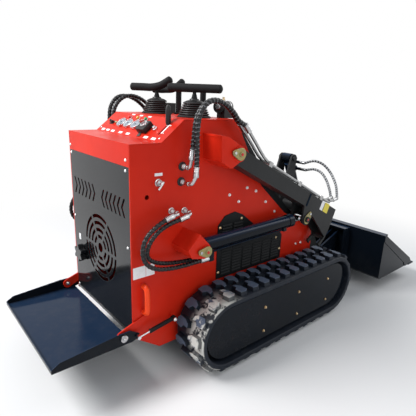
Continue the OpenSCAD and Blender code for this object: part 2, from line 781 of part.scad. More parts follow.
knob_y = 170;
knob_z = 425;
knob_r = 34;
knob_wave = 8;
knob_stem = 8;
knob_t = 24;

module star_knob() {
    color(black) on_ground() translate([-0.1, knob_y, knob_z]) rotate([0, -90, 0]) union() {
        cylinder(h = knob_stem + 1, r = 14);
        translate([0, 0, knob_stem])
            linear_extrude(knob_t)
                polygon([for (a = [0:9:351]) (knob_r + knob_wave*cos(6*a))*[cos(a), sin(a)]]);
    }
}

// Front end of the hinge brackets, and the radius of their eyes, which clears the folding floor
bracket_x = 46;
fold_r = 22;

module platform_brackets() {
    color(red) on_ground() both_sides() union() {
        xz(-half_w - plate_t - 0.1, plate_t)
            polygon(concat(
                [[bracket_x, fold_z + 22], [bracket_x, fold_z + 58]],
                arc(-fold_x, fold_z, fold_r, 100, 280, 8)));
        bar_y(-fold_x, fold_z, 8, -platform_w/2 - 9, -half_w - plate_t - 0.1);
        bar_y(-fold_x, fold_z, 13, -platform_w/2 - 9, -platform_w/2 - 1);
    }
    color(steel) on_ground() both_sides()
        bar_y(strut_body[0], strut_body[1], 5, -strut_y - 14, -half_w - 0.1);
}

// Lift arms

module arm_side_plate(y0) {
    translate([pivot_x, 0, pivot_z]) rotate([0, arm_fall, 0])
        xz(y0, ear_t) polygon(concat(
            [[rod_pin_u - 62, -arm_h/2]],
            [[rod_pin_u - 31, -rod_pin_v - 8], [rod_pin_u - 15, -rod_pin_v - 28], [rod_pin_u + 12, -rod_pin_v - 30],
             [rod_pin_u + 30, -rod_pin_v - 10], [rod_pin_u + 42, -rod_pin_v + 30]],
            [[arm_l - 10, -134], [arm_l - 40, -184], [arm_l - 18, -196], [arm_l + 4, -100], [arm_l, arm_over - 4],
             [arm_l - 60, arm_over - 4], [rod_pin_u - 62, arm_over - 4]]));
}

module arm() {
    difference() {
        union() {
            translate([pivot_x, 0, pivot_z]) rotate([0, arm_fall, 0]) {
                xz(-arm_y - arm_w, arm_w) polygon(concat(
                    arc(0, arm_over - arm_h/2, arm_h/2, 90, 270, 12),
                    [[arm_l + 4, arm_over - arm_h], [arm_l, arm_over]]));
                xz(-arm_y - arm_w, arm_w) polygon([
                    [arm_l - 10, -150], [arm_l - 2, -150],
                    [arm_l + 4, arm_over - arm_h], [arm_l - 6, arm_over - arm_h]
                ]);
            }
            arm_side_plate(-arm_y - arm_w);
            arm_side_plate(-arm_y - ear_t);
            bar_y(rod_pin[0], rod_pin[1], pin_d/2, -arm_y - arm_w - 12, -arm_y - arm_w);
            bar_y(rod_pin[0], rod_pin[1], pin_d/2 + 11, -arm_y - arm_w - 5, -arm_y - arm_w);
        }
        bar_y(pivot_x, pivot_z, pivot_pin_d/2 + run, -arm_y - arm_w - 1, -arm_y + 1);
    }
}

module arm_right() {
    color(dark) on_ground() arm();
}

module arm_left() {
    color(dark) on_ground() mirror([0, 1, 0]) arm();
}

module arm_crossmember() {
    tower_y = tilt_eye_w/2 + side_gap;
    color(dark) on_ground() difference() {
        union() {
            bar_y(tube_x, tube_z, tube_r, -arm_y + 0.05, arm_y - 0.05);
            both_sides() {
                xz(leg_y, leg_t) polygon(concat(
                    arc(hitch_x, hitch_z, 38, 205, 385, 12), arc(tube_x, tube_z, 50, 25, 205, 8)));
                xz(tower_y, tower_t) polygon(concat(
                    arc(tower_x, tower_z, 24, -10, 170, 8),
                    [[tube_x - 60, tube_z - 10], [tube_x - 20, tube_z - 50], [tube_x + 60, tube_z - 20]]));
            }
            slab([tube_x - 30, -tower_y - 1, tube_z + 20], [tube_x - 20, tower_y + 1, tube_z + 130]);
            bar_y(tower_x, tower_z, pin_d/2, -tower_y - 1, tower_y + 1);
            bar_y(tower_x, tower_z, pin_d/2, -tower_y - tower_t - 10, tower_y + tower_t + 10);
        }
        bar_y(hitch_x, hitch_z, pin_d/2 + run, -leg_y - leg_t - 1, leg_y + leg_t + 1);
    }
}

module arm_pipes() {
    color(steel) on_ground() both_sides() {
        for (y = [pipe_in, pipe_out])
            hose([for (p = pipe_path) [p[0], -y, p[1]]], pipe_d, 8, 2);
        for (u = [230, 480, 700])
            translate([pivot_x, 0, pivot_z]) rotate([0, arm_fall, 0])
                slab([u - 12, -arm_mid - 28, arm_over + 0.1], [u + 12, -arm_mid + 30, arm_over + 26]);
    }
}

module front_hoses() {
    color(rubber) on_ground() {
        hose(front_hose_a, front_hose_d);
        hose(front_hose_b, front_hose_d);
    }
}

// Hitch and bucket

module hitch_plate() {
    low = 185;
    top = 372;
    ear = 12;
    tower_y = tilt_eye_w/2 + side_gap;
    color(black) on_ground() union() {
        slab([hitch_plate_x, -hitch_w/2, low], [hitch_plate_x + hitch_t, hitch_w/2, top]);
        both_sides() {
            slab([hitch_plate_x - 50, hitch_w/2 - 12, low], [hitch_plate_x, hitch_w/2, top]);
            for (y = [leg_y - side_gap - ear, leg_y + leg_t + side_gap])
                xz(y, ear) polygon(concat(
                    arc(hitch_x, hitch_z, 34, 110, 290, 10),
                    [[hitch_plate_x, low], [hitch_plate_x, top - 40]]));
            xz(tower_y, ear) polygon(concat(
                arc(tilt_x, tilt_z, 30, 90, 250, 10),
                [[hitch_plate_x, low + 60], [hitch_plate_x, top]]));
            bar_y(hitch_x, hitch_z, pin_d/2, leg_y - side_gap - ear - 8, leg_y + leg_t + side_gap + ear + 8);
            bar_y(tilt_x, tilt_z, pin_d/2, tower_y + ear, tower_y + ear + 10);
        }
        slab([hitch_plate_x - 50, -hitch_w/2, top - 10], [hitch_plate_x, hitch_w/2, top]);
    }
}

module bucket() {
    x0 = bucket_back;
    x1 = bucket_back + bucket_l;
    w = bucket_w/2;
    t = bucket_t;
    top = bucket_z + bucket_h;
    color(black) on_ground() union() {
        xz(-w + t, 2*w - 2*t) polygon([
            [x0, bucket_z + 12], [x0 + 14, bucket_z], [x1 - lip_l, bucket_z], [x1 - lip_l, bucket_z + t],
            [x0 + 17, bucket_z + t], [x0 + t, bucket_z + 16], [x0 + t, top], [x0, top]
        ]);
        both_sides() {
            xz(-w, t) polygon([[x0, bucket_z + 12], [x0 + 14, bucket_z], [x1 - 20, bucket_z], [x1 - 62, bucket_z + 48],
                [x0 + 12, top], [x0, top]]);
            xz(-w - 4, 4) polygon([[x1 - 20, bucket_z], [x1 - 62, bucket_z + 48], [x0 + 12, top], [x0, top],
                [x0, top - 38], [x1 - 140, bucket_z + 30], [x1 - 120, bucket_z]]);
        }
        slab([x1 - lip_l, -w - 6, bucket_z - 4], [x1, w + 6, bucket_z - 4 + lip_t]);
        slab([x0, -w + t, top - 6], [x0 + 46, w - t, top]);
        slab([x0 + 40, -w + t, top - 30], [x0 + 46, w - t, top]);
    }
}

// Hydraulic cylinders, drawn along +X from the base pin

module barrel(l, d, wall, width, bore_from) {
    difference() {
        union() {
            translate([34, 0, 0]) rotate([0, 90, 0]) cylinder(h = l - 34, d = d);
            translate([l - 34, 0, 0]) rotate([0, 90, 0]) cylinder(h = 34, d = d + 6);
            bar_y(0, 0, eye_r, -width/2, width/2);
            slab([0, -min(width, d)/2 + 4, -18], [40, min(width, d)/2 - 4, 18]);
        }
        bar_y(0, 0, pin_d/2 + run, -width/2 - 1, width/2 + 1);
        translate([bore_from, 0, 0]) rotate([0, 90, 0]) cylinder(h = l - bore_from - 30, d = d - 2*wall);
        translate([bore_from, 0, 0]) rotate([0, 90, 0]) cylinder(h = l, d = rod_d + 2*run);
    }
}

module rod(l, start, bore_d, pin_half) {
    translate([start, 0, 0]) rotate([0, 90, 0]) cylinder(h = l - start - 10, d = rod_d);
    translate([start, 0, 0]) rotate([0, 90, 0]) cylinder(h = 25, d = bore_d - 2*run);
    bar_y(l, 0, eye_r, -eye_w/2, eye_w/2);
    bar_y(l, 0, pin_d/2, -pin_half, pin_half);
}

module lift_place() {
    translate([base_pin_x, -arm_mid, base_pin_z]) rotate([0, -lift_a, 0]) children();
}

module lift_barrel() {
    lift_place() {
        barrel(lift_barrel_l, barrel_d, 6, eye_w, 50);
        for (y = [-lift_port_y, lift_port_y])
            slab([lift_port_u, y - 11, lift_port_v - 12], [lift_port_u + 23, y + 11, -barrel_d/2 + 2]);
        slab([lift_barrel_l - 60, -10, -46], [lift_barrel_l - 36, 10, -barrel_d/2 + 2]);
        translate([66, 0, -40]) rotate([0, 90, 0]) cylinder(h = lift_barrel_l - 120, r = 5);
    }
}

module lift_rod() {
    lift_place() rod(lift_l, 62, barrel_d - 12, arm_w/2 - ear_t - seat);
}

module lift_barrel_right() {
    color(black) on_ground() lift_barrel();
}

module lift_barrel_left() {
    color(black) on_ground() mirror([0, 1, 0]) lift_barrel();
}

module lift_rod_right() {
    color(steel) on_ground() lift_rod();
}

module lift_rod_left() {
    color(steel) on_ground() mirror([0, 1, 0]) lift_rod();
}

module tilt_place() {
    translate([tower_x, 0, tower_z]) rotate([0, -tilt_a, 0]) children();
}

module tilt_barrel() {
    color(black) on_ground() tilt_place() {
        barrel(tilt_barrel_l, barrel_d, 6, tilt_eye_w, 50);
        for (u = tilt_port_u) {
            slab([u - 13, -14, barrel_d/2 - 4], [u + 13, 14, tilt_port_v + 10]);
            bar_y(u, tilt_port_v, 9, -tilt_port_y, -13);
        }
    }
}

module tilt_rod() {
    color(steel) on_ground() tilt_place()
        rod(tilt_l, 125, barrel_d - 12, tilt_eye_w/2 + side_gap - seat);
}

// Platform

module platform() {
    w = platform_w/2;
    t = platform_t;
    color(black) on_ground() union() {
        slab([-platform_l, -w, platform_z], [-floor_gap, w, platform_z + t]);
        both_sides() difference() {
            xz(-w, t) polygon([
                [-platform_l, platform_z], [-floor_gap, platform_z], [14, platform_z + 8], [20, platform_z + 26],
                [-fold_x + 30, platform_z + flange_h], [-fold_x - 36, platform_z + flange_h],
                [-platform_l + 30, platform_z + 34], [-platform_l, platform_z + 16]]);
            bar_y(-fold_x, fold_z, 8 + run, -w - 1, -w + t + 1);
        }
        both_sides() bar_y(strut_foot[0], strut_foot[1], 5, -strut_y + 7 + seat, -w + 1);
        slab([-platform_l, -w, platform_z], [-platform_l + t, w, platform_z + 14]);
    }
}

module strut_place() {
    translate([strut_body[0], -strut_y, strut_body[1]]) rotate([0, -strut_a, 0]) children();
}

module strut_barrel() {
    strut_place() {
        difference() {
            translate([6, 0, 0]) rotate([0, 90, 0]) cylinder(h = 110, r = 9);
            translate([16, 0, 0]) rotate([0, 90, 0]) cylinder(h = 110, r = 4 + run);
        }
        difference() {
            bar_y(0, 0, 11, -7, 7);
            bar_y(0, 0, 5 + run, -20, 20);
        }
    }
}

module strut_rod() {
    strut_place() {
        translate([18, 0, 0]) rotate([0, 90, 0]) cylinder(h = strut_l - 24, r = 4);
        bar_y(strut_l, 0, 8, -7, 7);
    }
}

module strut_barrel_right() {
    color(black) on_ground() strut_barrel();
}

module strut_barrel_left() {
    color(black) on_ground() mirror([0, 1, 0]) strut_barrel();
}

module strut_rod_right() {
    color(steel) on_ground() strut_rod();
}

module strut_rod_left() {
    color(steel) on_ground() mirror([0, 1, 0]) strut_rod();
}

side_plate_right();
side_plate_left();
console_shell();
rear_panel();
front_cover();
belly_pan();
engine_block();
side_grilles();
arm_brackets();
cylinder_brackets();
lever_boots();
lever_grips();
reference_bar();
slot_lever();
instruments();
air_canister();
track_frame_right();
track_frame_left();
track_right();
track_left();
track_covers();
grab_handles();
bulkhead_fittings();
upper_hoses();
lower_hoses();
star_knob();
platform_brackets();
arm_right();
arm_left();
arm_crossmember();
arm_pipes();
front_hoses();
hitch_plate();
bucket();
lift_barrel_right();
lift_barrel_left();
lift_rod_right();
lift_rod_left();
tilt_barrel();
tilt_rod();
platform();
strut_barrel_right();
strut_barrel_left();
strut_rod_right();
strut_rod_left();
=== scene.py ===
import math
import random

import bmesh
import bpy
from mathutils import Matrix, Vector


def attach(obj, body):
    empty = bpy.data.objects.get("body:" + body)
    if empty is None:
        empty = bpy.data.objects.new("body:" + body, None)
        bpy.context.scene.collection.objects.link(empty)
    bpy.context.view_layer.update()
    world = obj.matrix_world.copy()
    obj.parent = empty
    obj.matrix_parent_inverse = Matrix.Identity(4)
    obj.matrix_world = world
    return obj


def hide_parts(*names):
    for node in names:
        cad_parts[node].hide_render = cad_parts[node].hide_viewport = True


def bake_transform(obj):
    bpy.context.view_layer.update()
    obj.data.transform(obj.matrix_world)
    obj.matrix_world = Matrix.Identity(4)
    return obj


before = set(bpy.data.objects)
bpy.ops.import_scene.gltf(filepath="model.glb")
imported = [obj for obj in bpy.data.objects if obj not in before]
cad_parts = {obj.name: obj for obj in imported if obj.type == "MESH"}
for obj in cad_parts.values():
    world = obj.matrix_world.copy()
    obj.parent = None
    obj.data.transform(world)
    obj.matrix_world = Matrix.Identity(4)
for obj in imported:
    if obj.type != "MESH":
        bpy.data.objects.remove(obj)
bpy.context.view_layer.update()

# Machine drawing coordinates in millimetres, x from the rear panel, to the frame's metres
REAR_X = 858.65


def at(x, y, z):
    return Vector(((x - REAR_X) / 1000, y / 1000, z / 1000))


# Camera, fitted to the photograph
CAMERA_AT = Vector((-1.51295, -1.4869, 1.1428))
YAW, PITCH, ROLL = (math.radians(a) for a in (41.3, 16.1, 2.4))


def make_camera():
    ahead = Vector((math.sin(YAW) * math.cos(PITCH), math.cos(YAW) * math.cos(PITCH), -math.sin(PITCH)))
    level = Vector((math.cos(YAW), -math.sin(YAW), 0))
    over = level.cross(ahead)
    right = level * math.cos(ROLL) + over * math.sin(ROLL)
    up = over * math.cos(ROLL) - level * math.sin(ROLL)
    data = bpy.data.cameras.new("photo_camera")
    data.sensor_width, data.lens = 36, 33.68
    data.shift_x, data.shift_y = -0.0195, 0.0019
    camera = bpy.data.objects.new("photo_camera", data)
    turn = Matrix((right, up, -ahead)).transposed().to_4x4()
    camera.matrix_world = Matrix.Translation(CAMERA_AT) @ turn
    bpy.context.scene.collection.objects.link(camera)
    bpy.context.scene.camera = camera


make_camera()
bpy.context.scene.view_settings.view_transform = "Standard"


# Shader writing

class Value:
    """A socket in a finish's node tree. Arithmetic on it adds Math nodes."""

    def __init__(self, finish, socket):
        self.finish, self.socket = finish, socket

    def math(self, operation, *others, clamp=False):
        return self.finish.node("ShaderNodeMath", {"operation": operation, "use_clamp": clamp},
                                dict(enumerate((self,) + others)))

    def __add__(self, other):
        return self.math("ADD", other)

    def __sub__(self, other):
        return self.math("SUBTRACT", other)

    def __rsub__(self, other):
        return self.finish.node("ShaderNodeMath", {"operation": "SUBTRACT"}, {0: other, 1: self})

    def __mul__(self, other):
        return self.math("MULTIPLY", other)

    def __truediv__(self, other):
        return self.math("DIVIDE", other)

    __radd__, __rmul__ = __add__, __mul__

    def over(self, low, high):
        """0 below low, 1 above high, smooth between."""
        return self.finish.node("ShaderNodeMapRange", {"interpolation_type": "SMOOTHSTEP"},
                                {"Value": self, "From Min": low, "From Max": high})

    def clamped(self):
        return self.math("ADD", 0.0, clamp=True)


class Finish:
    """One procedural material, read on Object coordinates."""

    def __init__(self, name, **fixed):
        self.material = bpy.data.materials.new(name)
        self.material.use_nodes = True
        self.tree = self.material.node_tree
        self.shader = self.tree.nodes["Principled BSDF"]
        for key, value in fixed.items():
            self.shader.inputs[key.replace("_", " ").title().replace("Ior", "IOR")].default_value = value
        self.place = self.node("ShaderNodeTexCoord", out="Object")

    def node(self, kind, settings=(), sockets=(), out=0):
        made = self.tree.nodes.new(kind)
        for key, value in dict(settings).items():
            if key == "stops":
                ramp = made.color_ramp
                while len(ramp.elements) < len(value):
                    ramp.elements.new(0.5)
                for element, (where, colour) in zip(ramp.elements, value):
                    element.position, element.color = where, (*colour, 1)
            else:
                setattr(made, key, value)
        for key, value in dict(sockets).items():
            if isinstance(value, Value):
                self.tree.links.new(value.socket, made.inputs[key])
            elif value is not None:
                made.inputs[key].default_value = value
        return Value(self, made.outputs[out])

    def noise(self, scale, detail=3.0, rough=0.5, where=None, bend=0.0):
        return self.node("ShaderNodeTexNoise", {}, {
            "Vector": where or self.place, "Scale": scale, "Detail": detail, "Roughness": rough, "Distortion": bend})

    def cells(self, scale, where=None, feature="F1"):
        return self.node("ShaderNodeTexVoronoi", {"feature": feature},
                         {"Vector": where or self.place, "Scale": scale}, out="Distance")

    def stretched(self, x, y, z):
        return self.node("ShaderNodeMapping", {}, {"Vector": self.place, "Scale": (x, y, z)})

    def part(self, vector, axis):
        return self.node("ShaderNodeSeparateXYZ", {}, {"Vector": vector}, out=axis)

    def where(self, axis):
        return self.part(self.place, axis)

    def facing(self, axis):
        return self.part(self.node("ShaderNodeTexCoord", out="Normal"), axis)

    def mix(self, share, low, high):
        sockets = {0: share, 6: low if isinstance(low, Value) else (*low, 1),
                   7: high if isinstance(high, Value) else (*high, 1)}
        return self.node("ShaderNodeMix", {"data_type": "RGBA"}, sockets, out=2)

    def ramp(self, share, *stops):
        return self.node("ShaderNodeValToRGB", {"stops": stops}, {"Fac": share}, out="Color")

    def rounded(self, radius=0.0015):
        return self.node("ShaderNodeBevel", {"samples": 4}, {"Radius": radius})

    def bump(self, height, strength, distance, normal=None):
        return self.node("ShaderNodeBump", {}, {
            "Height": height, "Strength": strength, "Distance": distance, "Normal": normal})

    def use(self, **values):
        for key, value in values.items():
            self.tree.links.new(value.socket, self.shader.inputs[key.replace("_", " ").title()])
        return self.material


def dust_on(finish, low=0.0, high=0.35, scale=26.0):
    """Dust on faces that look up and on the lower part of the machine, broken up by noise."""
    up = finish.facing("Z").over(0.55, 0.95)
    near_ground = 1 - finish.where("Z").over(low, high)
    broken = finish.noise(scale, 6.0, 0.65).over(0.42, 0.72)
    return (up * 0.45 + near_ground * 0.55).clamped() * broken


def painted(name, main, second, dust=(0.24, 0.19, 0.14), rough=0.30, dusty=0.12, shine=0.25, painted_reflection_on_top=None):
    finish = Finish(name, specular_ior_level=shine)
    patches = finish.noise(2.3, 4.0, 0.6)
    specks = 1 - finish.cells(160).over(0.02, 0.10)
    dirt = dust_on(finish) * dusty
    streaks = finish.noise(1.0, 5.0, 0.7, finish.stretched(9, 9, 1.6)).over(0.35, 0.8)
    colour = finish.mix(patches.over(0.35, 0.7), main, second)
    # faces that look up are blended towards this blue: a painted reflection on the upper faces
    if painted_reflection_on_top:
        colour = finish.mix(finish.facing("Z").over(0.3, 0.9), colour, painted_reflection_on_top)
    colour = finish.mix(dirt + specks * dirt, colour, dust)
    peel = finish.noise(420, 2.0) + finish.noise(90, 2.0) * 0.6
    return finish.use(
        base_color=colour, roughness=(streaks * 0.10 + dirt * 0.5 + specks * 0.04 + rough).clamped(),
        normal=finish.bump(peel, 0.10, 0.0004, finish.rounded()))


def metal(name, light, dark, rough=0.28, grain=220.0, pits=0.25):
    finish = Finish(name, metallic=1.0)
    tarnish = finish.noise(38, 5.0, 0.6)
    fine = finish.noise(grain, 3.0)
    return finish.use(
        base_color=finish.mix(tarnish.over(0.35, 0.7), light, dark),
        roughness=(tarnish * 0.16 + fine * 0.08 + (rough - 0.12)).clamped(),
        normal=finish.bump(fine, pits, 0.0003, finish.rounded(0.0008)))


def rubbery(name, main, second, rough=0.62, grain=900.0, dusty=0.5, shine=0.2):
    finish = Finish(name, specular_ior_level=shine)
    worn = finish.noise(14, 5.0, 0.6)
    grit = finish.noise(grain, 2.0)
    dirt = dust_on(finish, 0.0, 0.5, 40.0) * dusty
    return finish.use(
        base_color=finish.mix(dirt, finish.mix(worn.over(0.3, 0.7), main, second), (0.23, 0.20, 0.16)),
        roughness=(worn * 0.14 + dirt * 0.25 + (rough - 0.07)).clamped(),
        normal=finish.bump(grit + worn * 0.5, 0.22, 0.0006))


RED = painted("red_paint", (0.70, 0.026, 0.009), (0.61, 0.020, 0.008), shine=0.12)
# a lighter copy of the red paint, worn by the handle bars: painted sunlight
SUNLIT_RED = painted("sunlit_red", (1.0, 0.075, 0.014), (0.93, 0.060, 0.012), shine=0.2)
BLACK = painted("gloss_black", (0.010, 0.011, 0.013), (0.014, 0.015, 0.017), rough=0.08, dusty=0.06, shine=0.3)
# the near-black gloss paint gets a painted blue reflection on its upward faces
GLOSS = painted("deep_gloss", (0.004, 0.006, 0.010), (0.005, 0.008, 0.013), rough=0.10, dusty=0.05, shine=0.12,
                painted_reflection_on_top=(0.012, 0.027, 0.060))
# dark blue for the arm's plate ends: a painted reflection on a real plate edge
PLATE_END_SHEEN = painted("arm_plate_end_painted_sheen", (0.003, 0.011, 0.024), (0.002, 0.006, 0.013), rough=0.20, dusty=0.02, shine=0.02)
SATIN = painted("satin_black", (0.011, 0.012, 0.013), (0.017, 0.018, 0.019), rough=0.42, dusty=0.25, shine=0.1)
ARM = painted("arm_grey", (0.019, 0.020, 0.021), (0.025, 0.026, 0.027), rough=0.38, dusty=0.12, shine=0.16)
IRON = painted("engine_iron", (0.020, 0.020, 0.021), (0.040, 0.039, 0.037), rough=0.6, dusty=0.4, shine=0.2)
STEEL = metal("zinc_steel", (0.58, 0.58, 0.58), (0.38, 0.39, 0.41))
PIPE = metal("arm_pipe_steel", (0.42, 0.42, 0.42), (0.30, 0.31, 0.32), 0.36)
ZINC = metal("bright_zinc", (0.86, 0.86, 0.86), (0.70, 0.71, 0.72), 0.34)
CHROME = metal("hard_chrome", (0.70, 0.71, 0.73), (0.60, 0.61, 0.64), 0.16, 600, 0.05)
BRASS = metal("brass_bolt", (0.62, 0.47, 0.28), (0.42, 0.33, 0.22), 0.34)
FOAM = rubbery("grip_foam", (0.006, 0.006, 0.007), (0.011, 0.011, 0.012), 0.7, 1400, 0.08)
BOOT = rubbery("boot_rubber", (0.008, 0.008, 0.009), (0.016, 0.016, 0.017), 0.46, 500, 0.12, 0.35)
PLASTIC = rubbery("black_plastic", (0.009, 0.009, 0.010), (0.015, 0.015, 0.016), 0.42, 700, 0.12, 0.3)


def make_yellow_zinc():
    finish = Finish("yellow_zinc", metallic=0.85)
    drift = finish.noise(60, 3.0, 0.5, bend=1.5)
    fine = finish.noise(400, 3.0)
    colour = finish.ramp(drift, (0.25, (0.17, 0.20, 0.13)), (0.45, (0.34, 0.27, 0.10)),
                         (0.62, (0.28, 0.28, 0.16)), (0.80, (0.20, 0.19, 0.19)))
    return finish.use(base_color=colour, roughness=(fine * 0.15 + drift * 0.15 + 0.18).clamped(),
                      normal=finish.bump(fine, 0.2, 0.0003, finish.rounded(0.0008)))


def make_track_rubber():
    """Blue-black rubber with dried pale mud round the rear wheel's outer half; the lugs' tops are greyer, a paler
    blue-grey that is painted light from above, and the lugs' sides are kept almost free of mud so they stay dark as
    painted shade.
    """
    finish = Finish("track_rubber", specular_ior_level=0.22)
    worn = finish.noise(18, 5.0, 0.6)
    grit = finish.noise(700, 3.0)
    height = finish.node("ShaderNodeAttribute", {"attribute_name": "height"}, out="Fac")
    outer = finish.node("ShaderNodeAttribute", {"attribute_name": "outer"}, out="Fac")
    rear = 1 - finish.where("X").over(-0.56, -0.43)
    clods = (finish.noise(12, 6.0, 0.7) * 0.7 + finish.noise(60, 4.0) * 0.3).over(0.43, 0.50)
    # the lugs' sides get little mud and stay dark: painted shade along the lugs
    painted_shade_on_lug_sides = height.over(0.02, 0.2) * (1 - height.over(0.80, 0.93))
    mud = rear * outer * clods * (1 - painted_shade_on_lug_sides * 0.8)
    film = finish.noise(30, 5.0, 0.7).over(0.5, 0.8) * 0.12
    # lugs' tops lighter blue-grey: painted light from above
    base = finish.mix(height.over(0.90, 0.99), (0.007, 0.011, 0.019), (0.080, 0.108, 0.160))
    base = finish.mix(worn.over(0.4, 0.8) * 0.3, base, (0.030, 0.035, 0.042))
    base = finish.mix(film, base, (0.14, 0.125, 0.11))
    base = finish.mix(mud.clamped(), base, (0.62, 0.62, 0.58))
    return finish.use(
        base_color=base, roughness=(worn * 0.2 + mud * 0.3 + 0.42).clamped(),
        normal=finish.bump(grit * 0.5 + worn + mud * 2.5, 0.3, 0.0012))


def make_hose_guard(name, pale):
    """Spiral guard: the mesh carries the turns, the attribute lifts their crests; pale is the grey of a painted
    highlight laid on the crests in broken patches.
    """
    finish = Finish(name, specular_ior_level=0.3)
    crest = finish.node("ShaderNodeAttribute", {"attribute_name": "crest"}, out="Fac")
    wear_and_glint_noise = finish.noise(120, 4.0, 0.6)
    # pale grey on the crests, broken by the noise: a painted highlight
    colour = finish.mix(crest.over(0.80, 1.0) * wear_and_glint_noise.over(0.38, 0.58), (0.005, 0.006, 0.007), (pale, pale, pale * 1.08))
    return finish.use(base_color=colour, roughness=(wear_and_glint_noise * 0.2 + 0.18).clamped(),
                      normal=finish.bump(wear_and_glint_noise, 0.15, 0.0005))


def make_silver_guard():
    finish = Finish("silver_guard", metallic=0.3)
    crest = finish.node("ShaderNodeAttribute", {"attribute_name": "crest"}, out="Fac")
    wear_and_glint_noise = finish.noise(150, 4.0, 0.6)
    colour = finish.mix(crest.over(0.40, 0.75), (0.02, 0.02, 0.022), (0.42, 0.43, 0.45))
    return finish.use(base_color=colour, roughness=(wear_and_glint_noise * 0.2 + 0.25).clamped(),
                      normal=finish.bump(wear_and_glint_noise, 0.2, 0.0005))


def enamel(name, main, second, rough=0.35, scale=60.0):
    """Small painted or printed plates, lenses and tags."""
    finish = Finish(name)
    soil = finish.noise(scale, 4.0, 0.6)
    return finish.use(base_color=finish.mix(soil.over(0.45, 0.8), main, second),
                      roughness=(soil * 0.2 + (rough - 0.1)).clamped(),
                      normal=finish.bump(soil, 0.05, 0.0003))


YELLOW_ZINC = make_yellow_zinc()
TRACK = make_track_rubber()
# the upper hoses get bright painted highlights, the lower hoses the same guard with dimmer painted highlights
GUARD = make_hose_guard("hose_guard", 0.15)
DIM_GLINT_GUARD = make_hose_guard("hose_guard_dim_glints", 0.05)
SILVER_GUARD = make_silver_guard()
WHITE = enamel("white_label", (0.92, 0.92, 0.93), (0.80, 0.80, 0.79), 0.45)
YELLOW = enamel("yellow_label", (0.80, 0.66, 0.05), (0.66, 0.52, 0.05), 0.4)
INK = enamel("black_ink", (0.02, 0.02, 0.02), (0.05, 0.05, 0.05), 0.5)
RED_END = enamel("pin_red", (0.60, 0.015, 0.010), (0.45, 0.012, 0.010), 0.3)
LAMP_RED = enamel("lens_red", (0.75, 0.02, 0.015), (0.60, 0.015, 0.015), 0.15)
LAMP_AMBER = enamel("lens_amber", (0.85, 0.42, 0.02), (0.70, 0.33, 0.02), 0.15)
LAMP_GREEN = enamel("lens_green", (0.02, 0.42, 0.16), (0.02, 0.32, 0.12), 0.15)
DIAL = enamel("dial_face", (0.33, 0.38, 0.44), (0.24, 0.28, 0.33), 0.2, 30)


# Mesh writing: a shape is a list of points and a list of faces

def lathe(profile, sides=32):
    """A profile of (radius, height) turned about +Z; a radius of 0 closes in one point."""
    points, faces, rings = [], [], []
    for radius, height in profile:
        if radius == 0:
            rings.append([len(points)])
            points.append(Vector((0, 0, height)))
        else:
            rings.append(list(range(len(points), len(points) + sides)))
            points += [Vector((radius * math.cos(math.tau * k / sides), radius * math.sin(math.tau * k / sides), height))
                       for k in range(sides)]
    for a, b in zip(rings, rings[1:]):
        for k in range(sides):
            face = [a[k % len(a)], a[(k + 1) % len(a)], b[(k + 1) % len(b)], b[k % len(b)]]
            face = [v for n, v in enumerate(face) if v not in face[:n]]
            if len(face) > 2:
                faces.append(face)
    faces += [ring for ring in (rings[0][::-1], rings[-1]) if len(ring) > 1]
    return points, faces


def prism(outline, height, bevel=0.0, steps=2):
    """A flat outline raised along +Z, its edges rounded."""
    mesh = bmesh.new()
    ring = [mesh.verts.new((x, y, 0)) for x, y in outline]
    face = mesh.faces.new(ring)
    raised = bmesh.ops.extrude_face_region(mesh, geom=[face])
    bmesh.ops.translate(mesh, vec=(0, 0, height), verts=[v for v in raised["geom"] if isinstance(v, bmesh.types.BMVert)])
    bmesh.ops.recalc_face_normals(mesh, faces=mesh.faces)
    if bevel:
        sharp = [e for e in mesh.edges if e.calc_face_angle(0) > 0.35]
        bmesh.ops.bevel(mesh, geom=sharp, offset=bevel, segments=steps, profile=0.6, affect="EDGES", clamp_overlap=True)
    mesh.verts.ensure_lookup_table()
    shape = [v.co.copy() for v in mesh.verts], [[v.index for v in f.verts] for f in mesh.faces]
    mesh.free()
    return shape


def block(size, bevel=0.001, steps=2):
    """A box round the origin in x and y, standing on z = 0."""
    a, b = size[0] / 2, size[1] / 2
    return prism([(-a, -b), (a, -b), (a, b), (-a, b)], size[2], bevel, steps)


def smooth_path(points, steps):
    """Catmull-Rom through the points, as the CAD hoses run."""
    found = []
    for i in range(len(points) - 1):
        a, b = points[max(i - 1, 0)], points[i]
        c, d = points[i + 1], points[min(i + 2, len(points) - 1)]
        for k in range(steps):
            t = k / steps
            found.append(0.5 * (2 * b + (c - a) * t + (2 * a - 5 * b + 4 * c - d) * t * t
                                + (3 * b - a - 3 * c + d) * t ** 3))
    return found + [points[-1]]


def evenly(points, gap):
    """The same line with points about gap apart."""
    lengths = [0.0]
    for a, b in zip(points, points[1:]):
        lengths.append(lengths[-1] + (b - a).length)
    count = max(2, round(lengths[-1] / gap))
    found, i = [], 0
    for k in range(count + 1):
        s = lengths[-1] * k / count
        while i < len(points) - 2 and lengths[i + 1] < s:
            i += 1
        span = lengths[i + 1] - lengths[i]
        found.append(points[i].lerp(points[i + 1], (s - lengths[i]) / span if span else 0))
    return found


